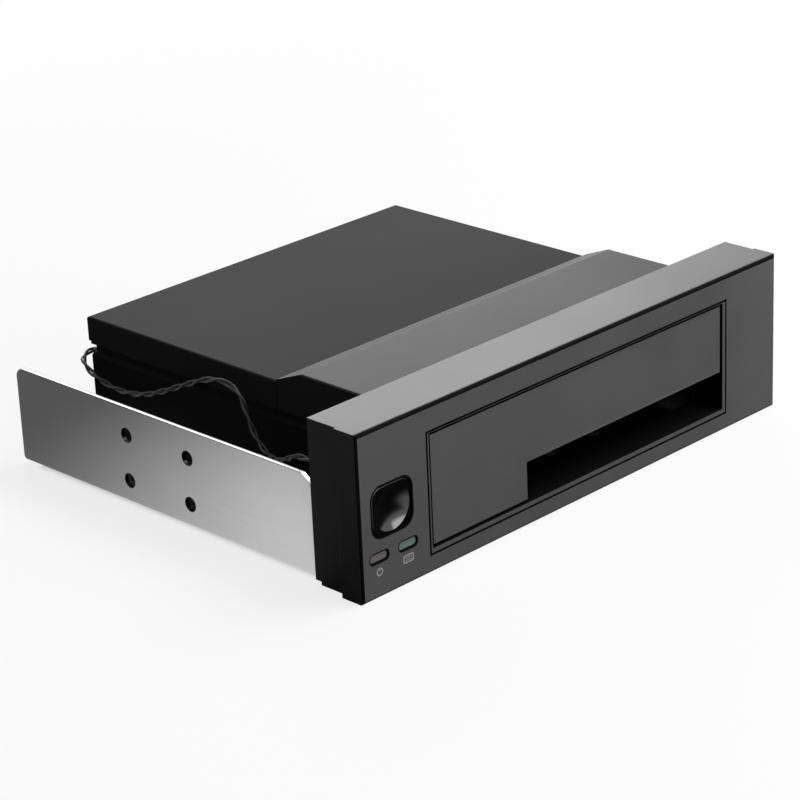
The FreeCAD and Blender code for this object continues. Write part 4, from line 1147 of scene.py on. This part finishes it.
# ------------------------------------------------------------------ the lead
@dataclass
class IndicatorLead:
    """Two thin wires twisted together, from the rear wall's plug to the plug behind the bezel."""

    diameter: float = 1.5 * MM
    length: float = 0.122
    lay: float = 12.0 * MM      # length of one full turn of the twist
    clear: float = 0.95         # a strand's radius, of what would make the two touch
    sides: int = 14
    samples: int = 420
    route: tuple = (            # control points in millimetres, Y from the bezel's face
        (-47.9, 117.3, 25.8),
        (-50.8, 117.3, 25.8),
        (-53.7, 117.3, 25.7),
        (-56.3, 115.8, 25.3),
        (-57.8, 113.2, 24.3),
        (-57.9, 109.6, 22.5),
        (-57.5, 104.6, 20.9),
        (-57.1, 98.4, 20.5),
        (-57.0, 91.2, 21.8),
        (-57.1, 83.2, 25.0),
        (-57.2, 74.8, 29.0),
        (-57.3, 67.6, 32.1),
        (-57.3, 61.0, 33.2),
        (-57.2, 56.4, 31.2),
        (-57.1, 54.4, 27.0),
        (-57.2, 52.6, 22.6),
        (-57.8, 48.6, 19.2),
        (-59.2, 43.4, 18.4),
        (-61.8, 37.2, 20.8),
        (-64.2, 30.0, 25.0),
        (-65.6, 23.6, 25.6),
        (-66.0, 18.6, 24.0),
        (-66.0, 15.4, 24.0),
    )

    def centreline(self) -> np.ndarray:
        """Points read from the smooth spline that the route's control points draw along.

        Returns:
            Evenly spaced points along the lead.
        """
        curve = bpy.data.curves.new("lead_route", "CURVE")
        curve.dimensions = "3D"
        curve.resolution_u = 24
        spline = curve.splines.new("NURBS")
        spline.points.add(len(self.route) - 1)
        for point, (x, y, z) in zip(spline.points, self.route):
            point.co = (x * MM, y * MM + FRONT_Y, z * MM, 1.0)
        spline.order_u = 3
        spline.use_endpoint_u = True
        holder = bpy.data.objects.new("lead_route", curve)
        bpy.context.scene.collection.objects.link(holder)
        bpy.context.view_layer.update()
        mesh = bpy.data.meshes.new_from_object(holder)
        points = np.array([vertex.co for vertex in mesh.vertices], float)
        bpy.data.objects.remove(holder)
        bpy.data.meshes.remove(mesh)
        run = np.concatenate([[0.0], np.cumsum(np.linalg.norm(np.diff(points, axis=0), axis=1))])
        even = np.linspace(0.0, run[-1], self.samples)
        return np.stack([np.interp(even, run, points[:, axis]) for axis in range(3)], -1)

    def build(self, dressing: Dressing) -> None:
        """Strand k at length s stands off the centreline by r (side cos a + rise sin a).

        The angle a is 2 pi s / lay + k pi, and r leaves the strands just clear of each other.

        Args:
            dressing: gives the lead its finish.
        """
        centre = self.centreline()
        tangent = unit(np.gradient(centre, axis=0))
        across = np.array([1.0, -1.0, 0.0]) / math.sqrt(2.0)
        side = unit(np.cross(tangent, across))
        rise = np.cross(side, tangent)
        run = np.linalg.norm(np.diff(centre, axis=0), axis=1).sum()
        turn = 2.0 * math.pi * np.linspace(0.0, run, self.samples) / self.lay
        strand = self.diameter / 4.0 * self.clear
        spread = self.diameter / 2.0 - strand
        shapes = []
        for phase in (0.0, math.pi):
            angle = (turn + phase)[:, None]
            line = centre + spread * (side * np.cos(angle) + rise * np.sin(angle))
            heading = unit(np.gradient(line, axis=0))
            beside = unit(np.cross(heading, across))
            shapes.append(swept(line, beside, np.cross(beside, heading), strand, self.sides))
        piece = mend_normals(new_piece("twisted_lead", *gathered(shapes)))
        dressing.piece(piece, WIRE, CAGE)
        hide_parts("indicator_lead")


# ------------------------------------------------------------------ springs
@dataclass
class TorsionSpring:
    """Wire spring on the flap's pin: one leg behind the bezel's face, one on the flap."""

    node: str
    wire: float = 0.25 * MM     # radius
    coil: float = 1.6 * MM      # radius of the wire's middle
    turns: int = 5
    per_turn: int = 22
    sides: int = 10
    axis: tuple[float, float] = (4.2 * MM + FRONT_Y, 36.4 * MM)  # Y and Z of the hinge pin
    flap_leg: tuple[float, float] = (5.0 * MM + FRONT_Y, 30.8 * MM)  # and of the leg's end
    bezel_leg: float = 39.6 * MM  # Z of the other leg's end

    def line(self) -> np.ndarray:
        """Middle of the wire: a straight leg, the helix and the other leg.

        At angle a the helix stands at (x0 + pitch a / 2 pi, y0 + r cos a, z0 + r sin a), and a
        leg leaves each end along the tangent.

        Returns:
            Points from the flap's leg to the bezel's.
        """
        low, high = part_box(self.node)
        start, end = low.x + self.wire, high.x - self.wire
        y0, z0 = self.axis
        count = self.turns * self.per_turn
        angle = np.linspace(0.0, 2.0 * math.pi * self.turns, count + 1)
        helix = np.stack([np.linspace(start, end, count + 1), y0 + self.coil * np.cos(angle),
                          z0 + self.coil * np.sin(angle)], -1)
        share = np.linspace(0.0, 1.0, 8, endpoint=False)[:, None]
        foot = np.array([start, *self.flap_leg])
        tip = np.array([end, y0 + self.coil, self.bezel_leg - self.wire * 0.2])
        lower = foot + (helix[0] - foot) * share
        upper = tip + (helix[-1] - tip) * share
        return np.concatenate([lower, helix, upper[::-1]])

    def build(self, dressing: Dressing) -> None:
        """Sweeps the wire.

        Args:
            dressing: gives the spring its finish.
        """
        line = self.line()
        heading = unit(np.gradient(line, axis=0))
        side = unit(np.cross(heading, np.array([1.0, 0.0, 0.0])))
        rise = np.cross(side, heading)
        piece = mend_normals(new_piece(f"coiled_{self.node}",
                                       *swept(line, side, rise, self.wire, self.sides)))
        dressing.piece(piece, SPRING, None)
        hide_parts(self.node)
        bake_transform(piece)


# ------------------------------------------------------------------ screws
class Facing(Enum):
    """Which way a screw's head looks, as the directions of its own three axes."""

    DOWN = ((1.0, 0.0, 0.0), (0.0, 1.0, 0.0), (0.0, 0.0, -1.0))
    FRONT = ((1.0, 0.0, 0.0), (0.0, 0.0, 1.0), (0.0, -1.0, 0.0))
    REAR = ((1.0, 0.0, 0.0), (0.0, 0.0, 1.0), (0.0, 1.0, 0.0))


@dataclass(frozen=True)
class Screw:
    """Cross-recessed screw: domed head with a rounded rim, and a threaded shank."""

    seat: tuple[float, float, float]    # middle of the head's underside
    facing: Facing
    head: float                 # radius
    height: float
    shank: float                # radius
    length: float
    columns: int = 40
    pitch: float = 0.55 * MM
    arm_half: float = 0.15      # of the cross, in radii of the head
    arm_reach: float = 0.62
    recess_depth: float = 0.62  # in heights of the head
    crown: float = 0.3          # how far the top falls to its border, in heights
    crown_border: float = 0.86  # where the rounded rim starts, in radii
    rim_levels: tuple[float, float] = (0.25, 0.78)  # of the rim's ellipse, in heights
    thread: float = 0.12        # depth, in radii of the shank

    def recess(self, across: np.ndarray, upright: np.ndarray) -> np.ndarray:
        """Depth of the cross, from 0 to 1.

        An arm is deepest along its middle and runs out at its end: the product of two ramps, one
        across the arm and one along it. The cross is the deeper of two arms.

        Args:
            across: places on the head in one direction.
            upright: places in the other.

        Returns:
            The share of the full depth.
        """
        wide, reach = self.head * self.arm_half, self.head * self.arm_reach

        def arm(along: np.ndarray, beside: np.ndarray) -> np.ndarray:
            """Depth of one arm."""
            return (np.clip((wide * 1.35 - np.abs(beside)) / (wide * 0.5), 0.0, 1.0)
                    * np.clip((reach - np.abs(along)) / (reach * 0.4), 0.0, 1.0))

        return np.maximum(arm(across, upright), arm(upright, across))

    def surface(self) -> tuple[np.ndarray, list]:
        """Points on a grid of rows down the profile and columns round the axis.

        The head's top is height (1 - crown (r/R)^2) less the recess, its rim a quarter ellipse,
        and the shank's radius is r (1 - thread w), where w waves once a pitch and once a turn.

        Returns:
            Points and faces in the frame.
        """
        border, (foot, brow) = self.crown_border, self.rim_levels
        top = np.linspace(0.0, border, 15)
        bend = np.linspace(0.0, math.pi / 2, 6)[1:]
        rim = np.stack([border + (1.0 - border) * np.sin(bend),
                        foot + (brow - foot) * np.cos(bend)], -1)
        radius = np.concatenate([top, rim[:, 0], [1.0]]) * self.head
        level = np.concatenate([1.0 - self.crown * top ** 2, rim[:, 1], [0.0]]) * self.height
        depth = np.linspace(0.0, 1.0, max(8, int(self.length / self.pitch * 4)))
        radius = np.concatenate([radius, np.full(len(depth), self.shank), [0.0]])
        level = np.concatenate([level, -self.length * depth, [-self.length]])
        angle = np.linspace(0.0, 2.0 * math.pi, self.columns, endpoint=False)
        wave = 0.5 - 0.5 * np.cos(2.0 * math.pi * level[:, None] / self.pitch + angle[None, :])
        on_shank = ((level < -1e-9) & (radius > 0))[:, None]
        spread = radius[:, None] * np.where(on_shank, 1.0 - self.thread * wave, 1.0)
        across, upright = spread * np.cos(angle), spread * np.sin(angle)
        sunk = np.where((level > 0)[:, None] & (radius < self.head * 0.7)[:, None],
                        self.recess(across, upright), 0.0)
        lift = level[:, None] - sunk * self.height * self.recess_depth
        local = np.stack([across, upright, lift], -1).reshape(-1, 3)
        points = local @ np.array(self.facing.value) + np.array(self.seat)
        return points, grid_quads(len(radius), self.columns, True).tolist()


@dataclass
class ScrewSet:
    """All the screws of one node."""

    node: str
    finish: Finish
    screws: Sequence[Screw]

    def build(self, dressing: Dressing) -> None:
        """Makes the screws as one piece in the node's place.

        Args:
            dressing: gives them their finish.
        """
        shapes = [screw.surface() for screw in self.screws]
        piece = mend_normals(new_piece(f"recessed_{self.node}", *gathered(shapes)))
        dressing.piece(piece, self.finish, CAGE)
        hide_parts(self.node)


def screw_sets() -> list[ScrewSet]:
    """Every screw of the cage, seated where the frame has it.

    Returns:
        One set for each node.
    """
    def row(places: Sequence[tuple], facing: Facing, head: float, height: float, shank: float,
            length: float) -> list[Screw]:
        """Screws of one size at these seats, all in millimetres."""
        return [Screw(tuple(value * MM for value in place), facing, head * MM, height * MM,
                      shank * MM, length * MM) for place in places]

    under = [(x, y, 1.3) for x in (-49.6, 51.0) for y in (-30.7, 4.3, 29.3)]
    tabs = [(x, -50.6, z) for x in (-58.8, 60.2) for z in (5.4, 33.0)]
    lip = [(x, 54.7, 32.2) for x in (-43.3, 44.7)]
    board = [(-45.3, 9.1), (-35.3, 26.8), (46.7, 9.1), (36.7, 26.8)]
    control = [(-64.1, -50.6, z) for z in (10.0, 28.9)]
    return [
        ScrewSet("bracket_screws", BLACK_SCREW, row(under, Facing.DOWN, 2.6, 1.3, 1.3, 3.7)),
        ScrewSet("bezel_screws", BLACK_SCREW, row(tabs, Facing.REAR, 2.3, 1.5, 1.3, 6.0)),
        ScrewSet("cover_screws", BLACK_SCREW, row(lip, Facing.REAR, 2.3, 1.5, 1.3, 3.0)),
        ScrewSet("backplane_screws", BRIGHT,
                 row([(x, 45.3, z) for x, z in board], Facing.FRONT, 2.3, 1.5, 1.3, 4.65)
                 + row([(x, 53.9, z) for x, z in board], Facing.REAR, 2.3, 1.5, 1.3, 3.85)),
        ScrewSet("control_screws", BRIGHT, row(control, Facing.REAR, 1.2, 0.9, 0.75, 6.1)),
    ]


# ------------------------------------------------------------------ boards
def block(middle: Sequence[float], size: Sequence[float], columns: int = 20,
          crisp: float = 0.16) -> tuple[np.ndarray, list]:
    """Small part with rounded edges, as a superellipsoid.

    With c(w) = sign(cos w) |cos w|^e and s(w) the same of the sine, the point is
    (a c(v) c(u), b c(v) s(u), h s(v)) for u round the part and v from below to above.

    Args:
        middle: in millimetres.
        size: across, deep and high, in millimetres.
        columns: points round the part.
        crisp: the power e; smaller is squarer.

    Returns:
        Points and faces.
    """
    def bent(wave: np.ndarray) -> np.ndarray:
        """Wave with its flanks steepened."""
        return np.sign(wave) * np.abs(wave) ** crisp

    around = np.linspace(0.0, 2.0 * math.pi, columns, endpoint=False)[None, :]
    rise = np.linspace(-math.pi / 2, math.pi / 2, columns // 2 + 1)[:, None]
    level = np.where(np.abs(np.sin(rise)) > 0.999, 0.0, bent(np.cos(rise)))
    points = np.stack([level * bent(np.cos(around)), level * bent(np.sin(around)),
                       np.broadcast_to(bent(np.sin(rise)), (len(rise), columns))], -1)
    scaled = points.reshape(-1, 3) * np.array(size) / 2 + np.array(middle)
    return scaled * MM, grid_quads(len(rise), columns, True).tolist()


def turned(middle: Sequence[float], facing: Facing, profile: Sequence[tuple[float, float]],
           columns: int = 16) -> tuple[np.ndarray, list]:
    """Profile of (radius, height) turned round an axis that stands on the middle.

    Args:
        middle: foot of the axis, in millimetres.
        facing: which way the height runs.
        profile: radius and height, in millimetres, from one end of the axis to the other.
        columns: points round the axis.

    Returns:
        Points and faces.
    """
    radius, height = np.array(profile, float).T
    angle = np.linspace(0.0, 2.0 * math.pi, columns, endpoint=False)
    local = np.stack([radius[:, None] * np.cos(angle), radius[:, None] * np.sin(angle),
                      np.broadcast_to(height[:, None], (len(radius), columns))], -1)
    points = local.reshape(-1, 3) @ np.array(facing.value) + np.array(middle)
    return points * MM, grid_quads(len(radius), columns, True).tolist()


@dataclass
class BoardParts:
    """Parts and solder of the two circuit boards."""

    control_rear: float = -50.6     # the boards' faces in Y, in millimetres
    back_front: float = 45.3
    back_rear: float = 46.9
    capacitors: tuple[float, float] = (-25.3, -19.3)  # X of their middles, in millimetres

    def joint(self, x: float, face: float, z: float, facing: Facing) -> tuple[np.ndarray, list]:
        """Solder cone round a clipped pin: a concave flank under a small flat tip."""
        profile = [(0.0, 0.0), (0.5, 0.0), (0.32, 0.1), (0.2, 0.3), (0.16, 0.55), (0.0, 0.6)]
        return turned((x, face, z), facing, profile, 12)

    def chip(self, middle: Sequence[float], size: Sequence[float], legs: int,
             facing: Facing) -> tuple[list, list]:
        """Flat package with a row of legs along each upright side.

        Args:
            middle: of the package, in millimetres.
            size: across, deep and high, in millimetres.
            legs: on each side.
            facing: which way the package looks.

        Returns:
            The package's shapes and the legs' shapes.
        """
        x, y, z = middle
        across, deep, high = size
        foot = y - facing.value[2][1] * (deep / 2 - 0.08)
        levels = z + (np.arange(legs) - (legs - 1) / 2) * high * 0.8 / max(legs - 1, 1)
        metal = [block((x + side * (across / 2 + 0.2), foot, float(level)), (0.7, 0.14, 0.28), 8)
                 for side in (-1, 1) for level in levels]
        return [block(middle, size)], metal

    def control(self, dressing: Dressing) -> None:
        """Solder of the switch and the lamps, a small chip and two chip resistors.

        Args:
            dressing: gives the parts their finishes.
        """
        face = self.control_rear
        bodies, metal = self.chip((-69.2, face + 0.45, 16.6), (2.0, 0.9, 3.0), 4, Facing.REAR)
        for z in (13.4, 15.6):
            bodies.append(block((-60.6, face + 0.28, z), (1.5, 0.5, 0.8), 12))
            metal += [block((-60.6 + side, face + 0.28, z), (0.55, 0.54, 0.84), 12)
                      for side in (-0.85, 0.85)]
        metal += [self.joint(x, face, z, Facing.REAR)
                  for x, z in ((-69.6, 9.7), (-68.0, 9.7), (-60.4, 9.7), (-58.9, 9.7),
                               (-66.4, 18.6), (-61.8, 18.6))]
        self.place(dressing, "control_board_parts", bodies, metal)

    def backplane(self, dressing: Dressing) -> None:
        """Solder of the ports and capacitors, a driver chip and its small parts.

        Args:
            dressing: gives the parts their finishes.
        """
        face = self.back_front
        bodies, metal = self.chip((-22.0, face - 0.6, 14.0), (5.0, 1.2, 6.4), 8, Facing.FRONT)
        for x, z in ((-31.0, 12.0), (-31.0, 14.5), (-31.0, 17.0), (-13.0, 20.5), (-10.0, 20.5)):
            bodies.append(block((x, face - 0.3, z), (1.6, 0.6, 0.9), 12))
            metal += [block((x + side, face - 0.3, z), (0.55, 0.64, 0.94), 12)
                      for side in (-0.9, 0.9)]
        rows = [(float(x), 14.6) for x in np.arange(-13.0, -4.5, 1.3)]
        rows += [(float(x), 14.6) for x in np.arange(11.6, 30.0, 1.3)]
        rows += [(x + side, 24.6) for x in self.capacitors for side in (-1.0, 1.0)]
        metal += [self.joint(x, face, z, Facing.FRONT) for x, z in rows]
        self.place(dressing, "backplane_parts", bodies, metal)

    def supply(self, dressing: Dressing) -> None:
        """Two capacitors, a coil and a regulator in place of the plain solids.

        A capacitor is a can turned from a profile with a crimped waist over a square foot, and
        the coil a shielded block with a round well.

        Args:
            dressing: gives the parts their finishes.
        """
        face = self.back_rear
        can = [(0.0, 0.6), (2.45, 0.6), (2.5, 0.8), (2.5, 1.3), (2.2, 1.5), (2.5, 1.75), (2.5, 4.7),
               (2.35, 4.9), (2.2, 4.96), (2.1, 4.9), (0.0, 4.9)]
        places = [(x, 24.6) for x in self.capacitors]
        bodies = [block((x, face + 0.35, z), (4.9, 0.7, 4.9)) for x, z in places]
        bodies.append(block((23.9, face + 1.6, 27.8), (6.4, 3.2, 6.4), 24, 0.2))
        package, metal = self.chip((11.1, face + 0.8, 27.8), (5.0, 1.55, 5.4), 5, Facing.REAR)
        bodies += package
        bodies += [turned((x, face, z), Facing.REAR, can, 32) for x, z in places]
        well = [(0.0, 3.19), (1.9, 3.19), (2.1, 3.12), (2.2, 3.19), (2.3, 3.05)]
        metal.append(turned((23.9, face, 27.8), Facing.REAR, well, 32))
        made = self.place(dressing, "supply_parts", bodies, metal)
        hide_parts("board_components")

    @staticmethod
    def place(dressing: Dressing, name: str, bodies: list, metal: list) -> bpy.types.Object:
        """Makes the dark parts and the bright ones as two pieces.

        Args:
            dressing: gives them their finishes.
            name: what the pieces' names start with.
            bodies: shapes of plastic.
            metal: shapes of solder and legs.

        Returns:
            The plastic piece.
        """
        legs = mend_normals(new_piece(f"{name}_metal", *gathered(metal)))
        dressing.piece(legs, BRIGHT, CAGE)
        made = mend_normals(new_piece(name, *gathered(bodies)))
        return dressing.piece(made, COMPONENT, CAGE)


# ------------------------------------------------------------------ stage, lamps and camera
@dataclass(frozen=True)
class Softbox:
    """Square lamp aimed at the object's middle."""

    name: str
    place: tuple[float, float, float]
    size: float
    power: float

    def build(self, target: Vector) -> None:
        """Makes the lamp.

        Args:
            target: the point that it faces.
        """
        lamp = bpy.data.lights.new(self.name, "AREA")
        lamp.shape = "SQUARE"
        lamp.size = self.size
        lamp.energy = self.power
        holder = bpy.data.objects.new(self.name, lamp)
        holder.location = self.place
        holder.rotation_euler = (Vector(self.place) - target).to_track_quat("Z", "Y").to_euler()
        bpy.context.scene.collection.objects.link(holder)


@dataclass
class Studio:
    """Pale floor, white surround and softboxes."""

    floor_size: float = 6.0
    floor_bounce: float = 0.22  # the floor's colour to diffuse light
    floor_colour: float = 0.75  # and to the eye
    shadow: float = 0.2         # how much of the floor's own shading shows
    shadow_start: tuple[float, float] = (-8.0 * MM, -2.0 * MM)  # outside the object's outline
    shadow_fade: tuple[float, float] = (0.08, 0.45)  # the same
    ambient: float = 0.08
    shade_level: float = 0.02   # of the floor beside the object in reflections
    shade_reach: tuple[float, float] = (0.06, 0.17)  # outside the object's outline
    patch_levels: tuple[float, float] = (0.88, 0.12)  # of the left patch, front and rear
    patch_fade: tuple[float, float] = (-0.064, 0.066)  # Y where it goes from one to the other
    patch_slope: float = 0.2    # of that border across X
    patch_start: tuple[float, float] = (-0.124, -0.117)  # X + Y at its front border
    patch_side: tuple[float, float] = (4.0 * MM, 7.0 * MM)  # from the object's left side
    ahead_side: tuple[float, float] = (0.018, 0.036)  # of the patch ahead, the same
    ahead_start: tuple[float, float] = (-0.042, -0.022)  # from the object's front
    glow: float = 0.8           # of the floor under the object
    glow_reach: tuple[float, float] = (-0.032, -0.01)  # within that outline
    lamps: tuple[Softbox, ...] = (
        Softbox("key", (0.55, -0.35, 1.0), 0.7, 13.5),
        Softbox("front", (0.26, -1.14, 0.5), 0.95, 11.5),
        Softbox("sheen", (0.74, 0.95, 0.48), 0.7, 7.0),
    )

    def build(self) -> None:
        """Makes the floor, the world and the lamps."""
        low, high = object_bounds()
        for lamp in self.lamps:
            lamp.build((low + high) / 2)
        self.floor(low, high)
        self.world()

    @staticmethod
    def seen(graph: Graph) -> Expr:
        """1 for rays from the camera, from gloss and through glass, 0 for diffuse light."""
        return graph.ray("Camera").highest(graph.ray("Glossy")).highest(graph.ray("Transmission"))

    @staticmethod
    def beyond(graph: Graph, low: Vector, high: Vector) -> Expr:
        """Distance outside the object's outline seen from above, negative under it."""
        x, y, _ = graph.axes()
        return (abs(x - (low.x + high.x) / 2) - (high.x - low.x) / 2).highest(
            abs(y - (low.y + high.y) / 2) - (high.y - low.y) / 2)

    def strength(self, graph: Graph, low: Vector, high: Vector) -> Expr:
        """Brightness of the floor, which only reflections see change.

        It is dark beside the object, painted shade that only reflections see, but for a bright
        patch on the left that fades to the rear, and one ahead of the button, which paint the
        reflections on the bracket and the button.

        Args:
            graph: the floor's nodes.
            low: the object's lowest corner.
            high: its highest corner.

        Returns:
            The brightness, 1 to every other ray.
        """
        x, y, _ = graph.axes()
        near = self.beyond(graph, low, high).ramp(*self.shade_reach, self.shade_level, 1.0)
        patch = ((y + x * self.patch_slope).ramp(*self.patch_fade, *self.patch_levels)
                 * (y + x).ramp(*self.patch_start)
                 * (x - low.x).ramp(*self.patch_side, 1.0, 0.0))
        ahead = ((x - low.x).ramp(*self.ahead_side, 1.0, 0.0)
                 * (y - low.y).ramp(*self.ahead_start, 1.0, 0.0))
        return 1.0 - graph.ray("Glossy") * (1.0 - near.highest(patch).highest(ahead))

    def floor(self, low: Vector, high: Vector) -> None:
        """Pale floor that shows white with a soft shadow.

        From below it is clear, and under the middle of the object it glows, so that the
        underside can be looked at.

        Args:
            low: the object's lowest corner, which the floor lies under.
            high: its highest corner.
        """
        half, level = self.floor_size / 2, low.z
        corners = np.array([(-half, -half, level), (half, -half, level),
                            (half, half, level), (-half, half, level)])
        floor = new_piece("studio_floor", corners, [(0, 1, 2, 3)], smooth=False)
        material = bpy.data.materials.new("studio_floor")
        material.use_nodes = True
        graph = Graph(material.node_tree)
        seen = self.seen(graph)
        beyond = self.beyond(graph, low, high)
        strength = self.strength(graph, low, high)
        grain = graph.noise(900.0, 3.0).ramp(0.2, 0.8, 0.985, 1.015)
        shade = (seen * (self.floor_colour - self.floor_bounce) + self.floor_bounce) * strength
        matt = graph.node("ShaderNodeBsdfDiffuse", None,
                          {"Color": graph.scaled(WHITE, grain * shade)})
        white, glow = (graph.node("ShaderNodeEmission", None, {"Color": WHITE, "Strength": level})
                       for level in (strength, self.glow))
        share = 1.0 - beyond.ramp(*self.shadow_fade, self.shadow, 0.0)
        top = graph.mixed(seen * share * beyond.ramp(*self.shadow_start), matt, white)
        middle = beyond.ramp(*self.glow_reach, 1.0, 0.0) * (1.0 - graph.ray("Camera"))
        below = graph.node("ShaderNodeNewGeometry", out="Backfacing")
        clear = graph.node("ShaderNodeBsdfTransparent")
        graph.surface(graph.mixed(below, graph.mixed(middle, top, glow), clear))
        floor.data.materials.append(material)
        floor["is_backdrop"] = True

    def world(self) -> None:
        """White to the camera and in reflections, faint as light."""
        world = bpy.data.worlds.new("studio")
        bpy.context.scene.world = world
        world.use_nodes = True
        graph = Graph(world.node_tree)
        faint, white = (graph.node("ShaderNodeBackground", None,
                                   {"Color": WHITE, "Strength": level})
                        for level in (self.ambient, 1.0))
        graph.node("ShaderNodeOutputWorld", None,
                   {"Surface": graph.mixed(self.seen(graph), faint, white)})


@dataclass(frozen=True)
class Viewpoint:
    """Camera that looks down on the front left corner."""

    azimuth: float = -44.67     # in degrees, as the two below
    elevation: float = 22.34
    roll: float = -2.57
    distance: float = 709.449 * MM  # from the target
    aside: float = -0.152 * MM  # to the right of the line through the target
    above: float = -9.165 * MM
    focal: float = 2831.378     # for an image 800 across
    image: float = 800.0
    target: tuple[float, float, float] = (0.0, 60.0 * MM + FRONT_Y, 20.0 * MM)

    def build(self) -> None:
        """Makes the camera and gives it to the scene."""
        azimuth, elevation = math.radians(self.azimuth), math.radians(self.elevation)
        back = Vector((math.sin(azimuth) * math.cos(elevation),
                       -math.cos(azimuth) * math.cos(elevation), math.sin(elevation)))
        right = Vector((math.cos(azimuth), math.sin(azimuth), 0.0))
        turn = Matrix.Rotation(math.radians(self.roll), 3, back)
        right = turn @ right
        up = back.cross(right)
        camera = bpy.data.cameras.new("camera")
        camera.sensor_width = 36.0
        camera.lens = self.focal * camera.sensor_width / self.image
        camera.clip_start, camera.clip_end = 0.01, 20.0
        holder = bpy.data.objects.new("camera", camera)
        holder.location = (Vector(self.target) + back * self.distance + right * self.aside
                           + up * self.above)
        holder.rotation_euler = Matrix((right, up, back)).transposed().to_euler()
        bpy.context.scene.collection.objects.link(holder)
        bpy.context.scene.camera = holder


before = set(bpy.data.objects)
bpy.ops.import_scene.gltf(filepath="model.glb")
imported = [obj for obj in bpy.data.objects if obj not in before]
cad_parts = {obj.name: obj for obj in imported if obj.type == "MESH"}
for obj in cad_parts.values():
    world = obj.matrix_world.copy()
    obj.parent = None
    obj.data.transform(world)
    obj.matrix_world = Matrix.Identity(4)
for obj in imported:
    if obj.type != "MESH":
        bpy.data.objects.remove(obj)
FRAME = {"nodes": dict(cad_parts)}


def main() -> None:
    """Dresses the frame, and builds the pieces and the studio."""
    logging.basicConfig(level=logging.INFO, format="%(message)s")
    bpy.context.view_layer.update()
    bpy.context.scene.view_settings.view_transform = "Standard"
    dressing = Dressing()
    dressing.nodes(FRAME["nodes"])
    Viewpoint().build()
    IndicatorLead().build(dressing)
    for side in ("left", "right"):
        TorsionSpring(f"flap_spring_{side}").build(dressing)
    for screws in screw_sets():
        screws.build(dressing)
    boards = BoardParts()
    boards.control(dressing)
    boards.backplane(dressing)
    boards.supply(dressing)
    Studio().build()


if __name__ == "__main__":
    main()
